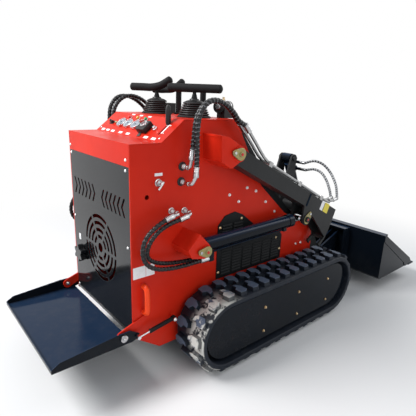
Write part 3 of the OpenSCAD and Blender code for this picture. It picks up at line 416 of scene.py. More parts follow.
def tube(points, radius, sides=16, closed=True):
    """A tube along points; radius is a number or a function of the distance and the turn round the tube."""
    rings, shape, faces = [], [], []
    ahead = (points[1] - points[0]).normalized()
    side = ahead.orthogonal().normalized()
    s = 0.0
    for i, p in enumerate(points):
        before, after = points[max(i - 1, 0)], points[min(i + 1, len(points) - 1)]
        new = (after - before).normalized()
        side = (side - new * side.dot(new)).normalized()
        other = new.cross(side)
        s += (p - before).length
        ring = []
        for k in range(sides):
            turn = math.tau * k / sides
            r = radius(s, turn) if callable(radius) else radius
            ring.append(len(shape))
            shape.append(p + (side * math.cos(turn) + other * math.sin(turn)) * r)
        rings.append(ring)
    for a, b in zip(rings, rings[1:]):
        faces += [[a[k], a[(k + 1) % sides], b[(k + 1) % sides], b[k]] for k in range(sides)]
    if closed:
        faces += [rings[0][::-1], rings[-1]]
    return shape, faces


def put(shape, where, axis=(0, 0, 1), spin=0.0):
    """The shape's +Z laid along axis, with its origin at where."""
    turn = standing(axis, spin)
    return [Vector(where) + turn @ p for p in shape[0]], shape[1]


def flipped(shape):
    """The same on the machine's other side."""
    return [Vector((p.x, -p.y, p.z)) for p in shape[0]], [f[::-1] for f in shape[1]]


def settled(made, body, replaces):
    """Tell the frame what the piece rides on and which nodes it stands for."""
    if body:
        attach(made, body)
    if replaces:
        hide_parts(*replaces)
    return made


def make_plain(made, modifier, angle):
    """The modifier's result becomes the object's mesh."""
    graph = bpy.context.evaluated_depsgraph_get()
    graph.update()
    old, plain = made.data, bpy.data.meshes.new_from_object(made.evaluated_get(graph))
    made.modifiers.remove(modifier)
    made.data = plain
    bpy.data.meshes.remove(old)
    plain.polygons.foreach_set("use_smooth", [True] * len(plain.polygons))
    plain.set_sharp_from_angle(angle=math.radians(angle))


class Piece:
    """Gathers shapes into one mesh, with a material for each."""

    def __init__(self, name):
        self.name, self.points, self.faces, self.marks, self.finishes = name, [], [], [], []
        self.values = {}

    def add(self, shape, finish, **values):
        if finish not in self.finishes:
            self.finishes.append(finish)
        start = len(self.points)
        self.points += shape[0]
        self.faces += [[start + v for v in f] for f in shape[1]]
        self.marks += [self.finishes.index(finish)] * len(shape[1])
        for key, found in values.items():
            self.values.setdefault(key, {}).update(
                {start + n: v for n, v in enumerate(found if hasattr(found, "__len__") else [found] * len(shape[0]))})
        return self

    def both(self, shape, finish, **values):
        self.add(shape, finish, **values)
        return self.add(flipped(shape), finish, **values)

    def made(self, body=None, replaces=(), slot=None, angle=35):
        mesh = bpy.data.meshes.new(self.name)
        mesh.from_pydata(self.points, [], self.faces)
        for finish in self.finishes:
            mesh.materials.append(finish)
        mesh.polygons.foreach_set("material_index", self.marks)
        for key, found in self.values.items():
            layer = mesh.attributes.new(key, "FLOAT", "POINT")
            layer.data.foreach_set("value", [found.get(n, 0.0) for n in range(len(self.points))])
        work = bmesh.new()
        work.from_mesh(mesh)
        bmesh.ops.recalc_face_normals(work, faces=work.faces)
        work.to_mesh(mesh)
        work.free()
        mesh.polygons.foreach_set("use_smooth", [True] * len(mesh.polygons))
        mesh.set_sharp_from_angle(angle=math.radians(angle))
        made = bpy.data.objects.new(self.name, mesh)
        bpy.context.scene.collection.objects.link(made)
        return settled(made, body, replaces)


# Repeated small parts, by Geometry Nodes

def standing(outward, spin=0.0):
    """The turn that lays +Z along outward, after a spin about +Z."""
    return Vector((0, 0, 1)).rotation_difference(Vector(outward)).to_matrix() @ Matrix.Rotation(spin, 3, "Z")


def repeated(name, part, finish, places, body, slot=None, replaces=(), angle=35, **marks):
    """part, an object with its foot at the origin and +Z outwards, at each of places: (point, turn, scale)."""
    mesh = bpy.data.meshes.new(name)
    mesh.from_pydata([p[0] for p in places], [], [])
    turns = mesh.attributes.new("turn", "FLOAT_VECTOR", "POINT")
    turns.data.foreach_set("vector", [angle for p in places for angle in p[1].to_euler()])
    for key, values in {"scale": [p[2] for p in places], **{k: [v] * len(places) for k, v in marks.items()}}.items():
        mesh.attributes.new(key, "FLOAT", "POINT").data.foreach_set("value", values)
    field = bpy.data.objects.new(name, mesh)
    bpy.context.scene.collection.objects.link(field)
    tree = bpy.data.node_groups.new(name + "_tree", "GeometryNodeTree")
    face = tree.interface
    face.new_socket("Points", in_out="INPUT", socket_type="NodeSocketGeometry")
    inputs = {
        "Part": face.new_socket("Part", in_out="INPUT", socket_type="NodeSocketObject"),
        "Finish": face.new_socket("Finish", in_out="INPUT", socket_type="NodeSocketMaterial"),
    }
    face.new_socket("Parts", in_out="OUTPUT", socket_type="NodeSocketGeometry")

    def new(kind, links=(), **settings):
        made = tree.nodes.new(kind)
        for key, value in settings.items():
            setattr(made, key, value)
        for socket, value in dict(links).items():
            if isinstance(value, bpy.types.NodeSocket):
                tree.links.new(value, made.inputs[socket])
            else:
                made.inputs[socket].default_value = value
        return made

    start = new("NodeGroupInput")
    turn = new("GeometryNodeInputNamedAttribute", {"Name": "turn"}, data_type="FLOAT_VECTOR")
    scale = new("GeometryNodeInputNamedAttribute", {"Name": "scale"}, data_type="FLOAT")
    turned = new("FunctionNodeEulerToRotation", {0: turn.outputs[0]})
    shape = new("GeometryNodeObjectInfo", {"Object": start.outputs["Part"]})
    copies = new("GeometryNodeInstanceOnPoints", {
        "Points": start.outputs["Points"], "Instance": shape.outputs["Geometry"],
        "Rotation": turned.outputs[0], "Scale": scale.outputs[0]})
    real = new("GeometryNodeRealizeInstances", {"Geometry": copies.outputs[0]})
    dressed = new("GeometryNodeSetMaterial", {"Geometry": real.outputs[0], "Material": start.outputs["Finish"]})
    new("NodeGroupOutput", {0: dressed.outputs[0]})
    modifier = field.modifiers.new("repeat", "NODES")
    modifier.node_group = tree
    for key, value in (("Part", part), ("Finish", finish)):
        modifier[inputs[key].identifier] = value
    make_plain(field, modifier, angle)
    return settled(field, body, replaces)


patterns = []


def pattern(name, *shapes):
    """A part for repeated(); it is removed at the end."""
    piece = Piece(name)
    for shape in shapes:
        piece.add(shape, STEEL)
    made = piece.made()
    patterns.append(made)
    return made


def hexagon(across, height):
    r = across / math.sqrt(3)
    return prism([(r * math.cos(math.tau * k / 6), r * math.sin(math.tau * k / 6)) for k in range(6)],
                 height, height * 0.16, 1)


# Bolt with washer, 10 mm across its head; button head with a socket; both unscaled in metres
BOLT = pattern("hex_bolt", lathe([(0, 0), (0.0088, 0), (0.0088, 0.0014), (0, 0.0014)], 24),
               put(hexagon(0.0125, 0.0062), (0, 0, 0.0013)), put(lathe([(0.0042, 0), (0.0042, 0.0015), (0, 0.0022)], 16), (0, 0, 0.0072)))
BUTTON = pattern("button_screw", lathe([(0.0075, 0), (0.0075, 0.0006), (0.0068, 0.0026), (0.0048, 0.0042),
                                        (0.0026, 0.0047), (0.0024, 0.0024), (0, 0.0024)], 24))


# Finishes on the CAD nodes that keep their shape
NODE_FINISH = {
    RED: ("side_plate_right", "side_plate_left", "console_shell", "arm_brackets", "cylinder_brackets", "platform_brackets"),
    BLACK: ("star_knob",),
    GLOSS: ("track_covers", "hitch_plate", "bucket", "lift_barrel_right", "lift_barrel_left", "tilt_barrel", "platform"),
    SATIN: ("front_cover", "belly_pan", "side_grilles", "track_frame_right", "track_frame_left",
            "strut_barrel_right", "strut_barrel_left"),
    ARM: ("arm_right", "arm_left", "arm_crossmember"),
    IRON: ("engine_block",),
    STEEL: ("bulkhead_fittings", "instruments"),
    PIPE: ("arm_pipes",),
    CHROME: ("lift_rod_right", "lift_rod_left", "tilt_rod", "strut_rod_right", "strut_rod_left"),
    PLASTIC: ("air_canister", "slot_lever"),
}
for finish, names in NODE_FINISH.items():
    for name in names:
        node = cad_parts[name]
        if not node.material_slots:
            node.data.materials.append(finish)
        for own in node.material_slots:
            own.link = "OBJECT"
            own.material = finish


# Hoses: the routes of part.scad, with a spiral guard, and crimped sleeves at their ends
ARM_MID = 333.0
PIPE_IN, PIPE_OUT = ARM_MID - 17, ARM_MID + 15


def guard_tube(points, radius, pitch=0.0155, gap=0.0032, sides=18, depth=0.14):
    """A hose in its guard: a flat spiral strip stands proud of the groove between its turns."""
    line = evenly(smooth_path(points, 8), gap)
    crests = []

    def size(s, turn):
        phase = (s / pitch - turn / math.tau) % 1.0
        wave = min(1.0, max(0.0, 1.6 - abs(phase - 0.5) * 4.4))
        crests.append(wave)
        return radius * (1 - depth + depth * wave)

    return tube(line, size, sides), crests


def sleeve(start, towards, radius=0.0118, length=0.040):
    """A crimped ferrule and its nut, from the hose's end along the hose."""
    axis = (towards - start).normalized()
    profile = [(0.006, 0), (radius, 0.0), (radius, 0.012)]
    for k in range(4):
        z = 0.014 + k * 0.006
        profile += [(radius * 0.90, z), (radius * 0.90, z + 0.002), (radius, z + 0.0035)]
    profile += [(radius * 1.02, length - 0.002), (radius * 0.96, length), (0.007, length)]
    return put(lathe(profile, 20), start, axis)


def hose_piece(name, routes, guard, radius, both=True):
    piece = Piece(name)
    for route in routes:
        shape, crests = guard_tube([at(*p) for p in route], radius)
        (piece.both if both else piece.add)(shape, guard, crest=crests)
    return piece


UPPER = [
    [(231, -326, 908), (236, -326, 945), (240, -327, 985), (244, -328, 1030), (253, -328, 1070), (277, -327, 1104),
     (312, -325, 1125), (355, -322, 1128), (400, -320, 1112), (434, -318, 1086), (464, -317, 1055),
     (491.7, -PIPE_IN, 1031.1), (511.5, -PIPE_IN, 1008.6)],
    [(236, -350, 846), (238, -351, 890), (238, -352, 936), (236, -353, 989), (236, -354, 1030), (243, -354, 1071),
     (264, -354, 1106), (296, -353, 1125), (338, -352, 1126), (382, -351, 1109), (418, -350, 1083), (448, -349, 1053),
     (491.7, -PIPE_OUT, 1031.1), (511.5, -PIPE_OUT, 1008.6)],
]
LOWER = [
    [(150, -331, 704), (117, -333, 695), (70, -335, 674), (32, -336, 645), (13, -338, 606), (14, -340, 567),
     (32, -342, 535), (68, -344, 512), (120, -345, 500), (180, -346, 495), (250, -346, 494), (314.1, -346, 494.8)],
    [(222, -326, 690), (188, -326, 682), (136, -326, 672), (88, -326, 651), (52, -325, 616), (38, -324, 576),
     (54, -322, 543), (100, -321, 520), (160, -320, 506), (218, -320, 499), (262, -320, 496), (314.1, -320, 494.8)],
]
FRONT = [
    [(1265.2, -50.8, 780.3), (1265.2, -66, 780.3), (1265.2, -84, 780.3), (1281, -140, 800), (1303, -190, 786),
     (1315, -240, 742), (1299, -290, 688), (1266, -325, 648), (1232, -PIPE_OUT, 625), (1201, -PIPE_OUT, 619.3)],
    [(1285.4, -50.8, 736.7), (1285.4, -66, 736.7), (1285.4, -84, 736.7), (1290, -140, 750), (1293, -190, 738),
     (1285, -235, 703), (1264, -275, 662), (1240, -303, 635), (1222, -PIPE_IN, 622), (1201, -PIPE_IN, 619.3)],
]


def make_hoses():
    upper = hose_piece("upper_hose_guards", UPPER, GUARD, 0.0102)
    for route in UPPER:
        first, second, before, last = (at(*route[i]) for i in (0, 1, -2, -1))
        upper.both(sleeve(first, second), STEEL)
        upper.both(sleeve(last, before), STEEL)
    piece = upper.made(replaces=("upper_hoses",), slot="hose_rubber")
    at(300, 0, 1080)
    at(470, 0, 1060)
    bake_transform(piece)
    for side, sign in (("right", 1), ("left", -1)):
        lower = Piece("lower_hose_guards_" + side)
        for route in LOWER:
            shape, crests = guard_tube([at(*p) for p in route], 0.0090)
            first, second, before, last = (at(*route[i]) for i in (0, 1, -2, -1))
            parts = [(shape, DIM_GLINT_GUARD, {"crest": crests}), (sleeve(first, second), STEEL, {}), (sleeve(last, before), STEEL, {})]
            for found, finish, values in parts:
                lower.add(found if sign > 0 else flipped(found), finish, **values)
        piece = lower.made(replaces=("lower_hoses",), slot="hose_rubber")
        at(60, 0, 500)
        at(290, 0, 500)
        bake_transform(piece)
    front = hose_piece("front_hose_guards", FRONT, SILVER_GUARD, 0.0078, both=False)
    for route in FRONT:
        first, second, before, last = (at(*route[i]) for i in (0, 1, -2, -1))
        front.add(sleeve(first, second, 0.0090, 0.036), STEEL)
        front.add(sleeve(last, before, 0.0090, 0.036), STEEL)
    piece = front.made(replaces=("front_hoses",), slot="hose_rubber")
    at(1250, -50, 760)
    at(1250, -250, 760)
    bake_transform(piece)


make_hoses()


# Tracks: a moulded belt with two staggered rows of claw lugs
TRACK_W, LUG_PITCH, LUG_COUNT, LUG_H, BELT_T, TURN_R = 180.0, 72.0, 34, 20.0, 24.0, 158.0
BELT_Y = 275.0 + 17.0
REAR_WHEEL_X = 358.0
PITCH_R = TURN_R - BELT_T / 2
RUN_L = (LUG_COUNT * LUG_PITCH - math.tau * PITCH_R) / 2
WHEEL_Z = TURN_R + LUG_H
LUG_DIP = 2.0


def loop_at(s, r):
    """Place and outward turn on the track's loop at length s from the top run's rear end."""
    bend = math.pi * PITCH_R
    s %= LUG_COUNT * LUG_PITCH
    if s < RUN_L:
        return REAR_WHEEL_X + s, WHEEL_Z + r, 0.0
    if s < RUN_L + bend:
        a = math.pi * (s - RUN_L) / bend
        return REAR_WHEEL_X + RUN_L + r * math.sin(a), WHEEL_Z + r * math.cos(a), a
    if s < 2 * RUN_L + bend:
        return REAR_WHEEL_X + RUN_L - (s - RUN_L - bend), WHEEL_Z - r, math.pi
    a = math.pi + math.pi * (s - 2 * RUN_L - bend) / bend
    return REAR_WHEEL_X + r * math.sin(a), WHEEL_Z + r * math.cos(a), a


# The claw lug seen from above: along the track, and inwards from the belt's outer edge
CLAW = [(-20, 12), (10, 10), (26, 22), (24, 60), (10, 84), (-8, 88), (-6, 62), (-24, 48)]
# Shrink of the outline at each level: level, share of height
LUG_LEVELS = [(1.0, 0.0), (0.96, 0.55), (0.91, 0.93), (0.87, 1.0)]


def lug_shape(piece, flip):
    """A tapered lug, its foot sunk in the belt; height marks how near its top a point is."""
    centre = sum((Vector(p) for p in CLAW), Vector((0, 0))) / len(CLAW)
    points, heights = [], []
    count, sink = len(CLAW), 4.0
    for grow, level in LUG_LEVELS:
        for x, y in CLAW:
            p = centre + (Vector((x, y)) - centre) * grow
            points.append(Vector((p.x, -p.y if flip else p.y, level * (LUG_H + sink) - sink)) / 1000)
            heights.append(level)
    faces = [[n * count + k, n * count + (k + 1) % count, (n + 1) * count + (k + 1) % count, (n + 1) * count + k]
             for n in range(len(LUG_LEVELS) - 1) for k in range(count)]
    faces += [list(range(count))[::-1], list(range(len(points) - count, len(points)))]
    return piece.add((points, faces), TRACK, height=heights)


LUGS = {flip: lug_shape(Piece("claw_lug"), flip).made() for flip in (False, True)}
patterns.extend(LUGS.values())


def make_belt(side, sign):
    """The belt: its outer face, rounded edges and inner face, swept round the loop."""
    edge = [(5, 0), (1.5, -1.5), (0, -6), (0, -BELT_T + 5), (4, -BELT_T + 0.5)]
    section = edge + [(60, -BELT_T), (120, -BELT_T)] + [(TRACK_W - y, z) for y, z in edge[::-1]]
    section += [(120, 0.0), (96, -1.6), (84, -1.6), (60, 0.0)]
    steps, n = LUG_COUNT * 6, len(section)
    points, outer = [], []
    for i in range(steps):
        for y, z in section:
            x0, z0, _ = loop_at(i * LUG_PITCH / 6, TURN_R + z)
            points.append(at(x0, -sign * (BELT_Y + y), z0))
            outer.append(min(1.0, max(0.0, (y - 70) / 40)) if z > -2 else 0.0)
    faces = [[i * n + k, i * n + (k + 1) % n, (i + 1) % steps * n + (k + 1) % n, (i + 1) % steps * n + k]
             for i in range(steps) for k in range(n)]
    piece = Piece("track_belt_" + side).add((points, faces), TRACK, outer=outer, height=0.0)
    return piece.made("chassis", ("track_" + side,), "track_rubber", angle=24)


def make_lugs(side, sign):
    for row, name in ((0, "inner"), (1, "outer")):
        places = []
        for i in range(LUG_COUNT):
            x, z, turn = loop_at((i if row else i + 0.5) * LUG_PITCH, TURN_R)
            drop = 0.0 if turn in (0.0, math.pi) else LUG_DIP
            up = Vector((math.sin(turn), 0, math.cos(turn)))
            foot = at(x, -sign * (BELT_Y + TRACK_W * row), z) - up * drop / 1000
            places.append((foot, Matrix.Rotation(turn, 3, "Y"), 1.0))
        repeated(f"track_lugs_{side}_{name}", LUGS[(row == 0) == (sign > 0)], TRACK, places, "chassis", "track_rubber",
                 ("track_" + side,), 18, outer=float(row))


for side, sign in (("right", 1), ("left", -1)):
    make_belt(side, sign)
    make_lugs(side, sign)


# Controls
LEVER_X, LEVER_Y, CONSOLE_Z, SHELF_Z, SHELF_L, SLOPE_L = 378.0, 145.0, 1054.0, 972.0, 132.0, 101.0


def make_boots():
    piece = Piece("bellows_boots")
    profile = [(0.0, 0.0005), (0.0675, 0.0005), (0.0680, 0.0060), (0.0655, 0.0085)]
    for k in range(6):
        out, inner = 0.0650 - k * 0.0034, 0.0580 - k * 0.0036
        z = 0.0100 + k * 0.0085
        profile += [(inner, z), (out - 0.0012, z + 0.0022), (out, z + 0.0046), (out - 0.0014, z + 0.0066)]
    profile += [(0.0420, 0.0625), (0.0330, 0.0670), (0.0210, 0.0700), (0.0185, 0.0755), (0.0, 0.0758)]
    for y in (-LEVER_Y, LEVER_Y):
        piece.add(put(lathe(profile, 48), at(LEVER_X, y, CONSOLE_Z)), BOOT)
        # clamp ring round the boot's foot
        piece.add(put(lathe([(0.0675, 0.0005), (0.0715, 0.0005), (0.0715, 0.0034), (0.0675, 0.0040)], 48),
                      at(LEVER_X, y, CONSOLE_Z)), PLASTIC)
    return piece.made("chassis", ("lever_boots",), "soft_rubber")


def grip_tube(points, radius):
    """A foam grip with rounded ends."""
    line = evenly(smooth_path([Vector(p) for p in points], 10), 0.004)
    total = sum((b - a).length for a, b in zip(line, line[1:]))

    def size(s, turn):
        end = min(s, total - s)
        cap = 1.0 if end > radius * 0.6 else math.sqrt(max(0.12, 1 - (1 - end / (radius * 0.6)) ** 2))
        return radius * cap

    return tube(line, size, 24)


GRIP_TURN = math.radians(35)


def along(s, h, y):
    """A point at length s along a grip of the lever at y, h above its level part."""
    return at(LEVER_X + s * math.sin(GRIP_TURN), y - s * math.cos(GRIP_TURN), CONSOLE_Z + 118 + h)


def make_levers():
    grips = Piece("lever_hand_grips")
    for y, route in ((LEVER_Y, [(-134, 0), (-70, 0), (-24, 0), (18, 9), (48, 25), (74, 41)]),
                     (-LEVER_Y, [(-120, 0), (-60, 0), (0, 0), (60, 0), (120, 0)])):
        grips.add(grip_tube([along(s, h, y) for s, h in route], 0.0178), FOAM)
        grips.add(put(lathe([(0.0078, 0), (0.0078, 0.050), (0.0078, 0.112)], 20), at(LEVER_X, y, CONSOLE_Z - 2)), SATIN)
        grips.add(put(lathe([(0.0, 0), (0.0130, 0), (0.0130, 0.004), (0.0100, 0.012), (0.0, 0.012)], 24),
                      at(LEVER_X, y, CONSOLE_Z + 75)), SATIN)
        grips.add(put(hexagon(0.019, 0.009), at(LEVER_X, y, CONSOLE_Z + 84)), SATIN)
    return grips.made("chassis", ("lever_grips",), "grip_plastic")


def make_reference_bar():
    piece = Piece("padded_reference_bar")
    pad = [(411, 238, 1163), (430, 208, 1163), (449, 179, 1164), (464, 130, 1170), (472, 64, 1206)]
    piece.add(grip_tube([at(*p) for p in pad], 0.0158), FOAM)
    feet = [(462, 86), (470, -88)]
    tops = [at(*foot, 1170) for foot in feet]
    piece.add(grip_tube(tops, 0.0134), FOAM)
    for foot, top in zip(feet, tops):
        piece.add(tube(evenly([at(*foot, CONSOLE_Z + 1), top], 0.01), 0.0134, 20), FOAM)
        piece.add(put(lathe([(0.0, 0), (0.022, 0), (0.022, 0.005), (0.0160, 0.009), (0.0, 0.009)], 28),
                      at(*foot, CONSOLE_Z + 0.2)), SATIN)
    return piece.made("chassis", ("reference_bar",), "grip_plastic")


SLOPE_A = math.atan2(CONSOLE_Z - SHELF_Z, SLOPE_L)
SLOPE_OUT = Vector((-math.sin(SLOPE_A), 0, math.cos(SLOPE_A)))


def on_slope(y, up, off=0.0):
    """A point on the sloped panel, up along it, off above it, in millimetres."""
    return at(SHELF_L + up * math.cos(SLOPE_A), y, SHELF_Z + up * math.sin(SLOPE_A)) + SLOPE_OUT * off / 1000


def make_instruments():
    piece = Piece("panel_instruments")

    def stand(shape, y, up, finish, off=0.1, spin=0.0):
        piece.add(put(shape, on_slope(y, up, off), SLOPE_OUT, spin), finish)

    for y in (116, 54, -8):
        stand(lathe([(0, 0), (0.0262, 0), (0.0262, 0.007), (0.0245, 0.0105), (0.0225, 0.0100), (0.0218, 0.0080),
                     (0, 0.0080)], 48), y, 63, CHROME)
        stand(lathe([(0, 0), (0.0215, 0), (0.0215, 0.0006), (0, 0.0006)], 40), y, 63, DIAL, 8.2)
        for k in range(9):
            a = math.radians(-130 + k * 32.5)
            side = Vector((0, 1, 0))
            rim = on_slope(y, 63, 8.9) + (side * math.sin(a) + side.cross(SLOPE_OUT) * math.cos(a)) * 0.0172
            piece.add(put(block((0.0012, 0.0045, 0.0004), 0), rim, SLOPE_OUT, a), INK)
        stand(prism([(-0.0008, -0.004), (0.0008, -0.004), (0.0004, 0.015), (-0.0004, 0.015)], 0.0005), y, 63, INK, 9.0,
              0.9 + y * 0.01)
        stand(lathe([(0, 0), (0.0028, 0), (0.0022, 0.0018), (0, 0.0018)], 20), y, 63, INK, 9.2)
    for y, finish in ((91, LAMP_RED), (23, LAMP_AMBER), (-41, LAMP_GREEN)):
        stand(lathe([(0, 0), (0.0090, 0), (0.0090, 0.0030), (0.0080, 0.0038), (0, 0.0038)], 28), y, 101, CHROME)
        stand(lathe([(0.0068, 0), (0.0068, 0.0070), (0.0054, 0.0098), (0.0026, 0.0112), (0, 0.0115)], 24), y, 101,
              finish, 3)
    # toggle switch at the left end, a small brass stud beside it, and a chromed push button
    stand(block((0.020, 0.034, 0.0022), 0.0005), 204, 59, PLASTIC)
    stand(block((0.010, 0.024, 0.0100), 0.0015), 204, 59, PLASTIC, 2)
    stand(block((0.009, 0.007, 0.0150), 0.0015), 208, 59, INK, 2, 0.0)
    stand(lathe([(0, 0), (0.0062, 0), (0.0062, 0.0050), (0.0044, 0.0080), (0, 0.0086)], 24), 166, 60, BRASS)
    stand(lathe([(0, 0), (0.0110, 0), (0.0110, 0.0060), (0.0092, 0.0078), (0, 0.0078)], 28), -160, 59, CHROME)
    stand(lathe([(0.0070, 0), (0.0070, 0.0060), (0.0052, 0.0078), (0, 0.0080)], 24), -160, 59, CHROME, 7)
    # key switch block with its key and a hanging tag
    stand(block((0.052, 0.060, 0.0235), 0.003), -98, 52, PLASTIC)
    stand(lathe([(0, 0), (0.0165, 0), (0.0165, 0.0050), (0.0135, 0.0075), (0, 0.0075)], 32), -104, 56, CHROME, 23)
    stand(block((0.0024, 0.022, 0.0160), 0.0008), -104, 56, STEEL, 28, 0.6)
    stand(block((0.026, 0.018, 0.0020), 0.0008), -92, 20, INK, 1.0, 0.3)
    # blank label plates
    for y in (222, 176, 129, 57, -6, -150, -206):
        stand(block((0.012, 0.029, 0.0006), 0), y, 11, WHITE, 0.15)
    for y, up in ((97, 124), (30, 123), (-41, 122)):
        stand(block((0.008, 0.024, 0.0006), 0), y, up, WHITE, 0.15)
    for y, up in ((255, 20), (-239, 18)):
        stand(lathe([(0.0048, 0), (0.0048, 0.0012), (0.0030, 0.0026), (0, 0.0029)], 16), y, up, STEEL)
    # scale strip beside the slot
    stand(block((0.050, 0.008, 0.0006), 0), -221, 68, WHITE, 0.15)
    for up in (46, 90):
        stand(lathe([(0.0032, 0), (0.0032, 0.0008), (0.0020, 0.0018), (0, 0.0020)], 14), -232, up, STEEL)
    return piece.made("chassis", ("instruments",), "gauge_metal")


def make_slot_lever():
    """Throttle lever in its slot; the blank scale strip beside it is made with the instruments."""
    piece = Piece("throttle_lever")
    foot = at(SHELF_L + 73, -209, SHELF_Z + 34)
    piece.add(put(block((0.012, 0.0062, 0.050), 0.0012), foot), STEEL)
    piece.add(put(lathe([(0.0, 0), (0.0080, 0), (0.0104, 0.010), (0.0108, 0.050), (0.0096, 0.066), (0.0060, 0.073),
                         (0, 0.0745)], 24), foot + Vector((0, 0, 0.024))), PLASTIC)
    return piece.made("chassis", ("slot_lever",), "grip_plastic")


make_boots()
make_levers()
make_reference_bar()
make_instruments()
make_slot_lever()


# Small parts on the body
SIDE_Y = -275.0
GRILLE_X, GRILLE_Z = 424.0, 339.0
ARM_OUT_Y = -(293.0 + 80.0)
BRACKET_Y = -(293.0 + 80.0 + 6.0 + 8.0)
CYL_BRACKET_Y = -(333.0 + 20.0 + 6.0 + 20.0 + 8.0)
SIDE_BOLTS = [(485, 729), (592, 749), (652, 726), (543, 691), (725, 664), (797, 603), (997, 386), (1040, 384), (587, 812)]
GRILLE_BOLTS = [(434, 370), (857, 391), (823, 460), (436, 585), (566, 608)]
REAR_SCREWS = [(262, 912), (256, 877), (-247, 914), (-245, 875), (256, 583), (-249, 581), (256, 229), (-250, 232)]
COVER_BOLTS = [(583 + 248 * i, z) for i in range(3) for z in (99, 222)]


def side_places(points, y, scale, seed):
    rng = random.Random(seed)
    return [(at(x, s * y, z), standing((0, -s, 0), rng.uniform(0, 6)), scale) for x, z in points for s in (1, -1)]


repeated("side_bolts", BOLT, ZINC, side_places(SIDE_BOLTS, SIDE_Y, 0.8, 3), "chassis", "zinc_steel")
repeated("grille_bolts", BUTTON, BRASS, side_places(GRILLE_BOLTS, SIDE_Y - 3.1, 1.0, 4), "chassis", "zinc_steel")
repeated("cover_bolts", BOLT, BRASS, side_places(COVER_BOLTS, -450.0, 0.8, 5), "chassis", "zinc_steel")
repeated("rear_screws", BUTTON, ZINC, [(at(0, y, z), standing((-1, 0, 0), 0.3 * y), 0.8) for y, z in REAR_SCREWS],
         "chassis", "zinc_steel")


def chevron(y, z, tip):
    """A pressed arrow slot through the rear panel: its point at (y, z) looks along tip in y."""
    wide, deep, half = 13, 20, 37
    outline = [(0, 0), (deep, half), (deep + wide, half), (wide, 0), (deep + wide, -half), (deep, -half)]
    points = [at(x, y - tip * a, z + b) for x in (-2, 5) for a, b in outline]
    faces = [[k, (k + 1) % 6, 6 + (k + 1) % 6, 6 + k] for k in range(6)] + [[5, 4, 3, 2, 1, 0], [6, 7, 8, 9, 10, 11]]
    return points, faces


def ring_slot(y, z, middle, first, half=7.5, spoke=7.0):
    """One of the six slots of a ring of the fan grille, with parallel-sided spokes between."""
    rim = []
    for radius, steps in ((middle + half, range(9)), (middle - half, range(8, -1, -1))):
        gap = math.asin(spoke / radius)
        for k in steps:
            a = first + gap + (math.tau / 6 - 2 * gap) * k / 8
            rim.append((y + radius * math.sin(a), z - radius * math.cos(a)))
    n = len(rim)
    points = [at(x, *p) for x in (-2, 5) for p in rim]
    return points, [[k, (k + 1) % n, n + (k + 1) % n, n + k] for k in range(n)] + [
        list(range(n))[::-1], list(range(n, 2 * n))]


def make_rear_panel():
    """The rear panel with its fan grille and its two groups of arrow slots, which point at each other."""
    top, low, half = 889.7, 212.0, 268.6
    section = [(0, low), (25, low), (25, low + 3), (3, low + 3), (3, top), (0, top)]
    plate = Piece("pierced_rear_panel").add(
        ([at(x, y, z) for y in (-half, half) for x, z in section],
         [[k, (k + 1) % 6, 6 + (k + 1) % 6, 6 + k] for k in range(6)] + [[5, 4, 3, 2, 1, 0], [6, 7, 8, 9, 10, 11]]), BLACK)
    holes = [chevron(22 + 37 * k, 734, -1) for k in range(6)] + [chevron(-33 - 34 * k, 731, 1) for k in range(6)]
    holes += [ring_slot(-5, 503, middle, math.radians(30 + 60 * k)) for middle in (49, 79, 109, 139) for k in range(6)]
    holes.append(put(lathe([(0.0205, 0), (0.0205, 0.007)], 32), at(-2, -5, 503), (1, 0, 0)))
    panel = plate.made()
    cut = panel.modifiers.new("cut", "BOOLEAN")
    cut.solver, cut.object = "EXACT", pattern("panel_holes", *holes)
    make_plain(panel, cut, 30)
    settled(panel, "chassis", ("rear_panel",))


make_rear_panel()


def louvre():
    """A pressed hood over one slot of the side grilles: along x, y up, z outwards."""
    section = [(0.0045, -0.0002), (0.0045, 0.0004), (0.0010, 0.0034), (-0.0035, 0.0042), (-0.0036, 0.0034),
               (0.0004, 0.0026), (0.0034, -0.0002)]
    points = [Vector((side * 0.0285, y, z)) for side in (-1, 1) for y, z in section]
    n = len(section)
    faces = [[k, (k + 1) % n, n + (k + 1) % n, n + k] for k in range(n)] + [list(range(n))[::-1], list(range(n, 2 * n))]
    return points, faces


LOUVRES = [(GRILLE_X + 54 + col * 68, GRILLE_Z + 20 + row * 14.5) for row in range(17) for col in range(6 if row < 8 else 2)]
repeated("grille_louvres", pattern("louvre", louvre()), SATIN,
         [(at(x, s * (SIDE_Y - 3.1), z), standing((0, -s, 0), 0 if s > 0 else math.pi), 1.0)
          for x, z in LOUVRES for s in (1, -1)], "chassis", "satin_black")


# Platform pivots: a steel cap over each boss, bolts outside and on the brackets' inner faces, and the struts' studs
PIVOT_CAP = pattern("pivot_cap", lathe([(0.0132, -0.0078), (0.0143, -0.0078), (0.0143, 0.0006), (0, 0.0006), (0, 0.0001),
                                        (0.0132, 0.0001), (0.0132, -0.0078)], 32))
repeated("platform_pivot_caps", PIVOT_CAP, STEEL, [(at(-50, s * 301, 235), standing((0, s, 0)), 1.0) for s in (1, -1)],
         "chassis", "zinc_steel")
repeated("platform_pivot_bolts", BOLT, STEEL,
         [(at(-50, s * y, 235), standing((0, s * out, 0)), 1.1) for s in (1, -1) for y, out in ((301.6, 1), (275.1, -1))],
         "chassis", "zinc_steel")
repeated("strut_studs", BUTTON, ZINC, [(at(172, s * 320, 248), standing((0, s, 0)), 1.15) for s in (1, -1)],
         "chassis", "zinc_steel")


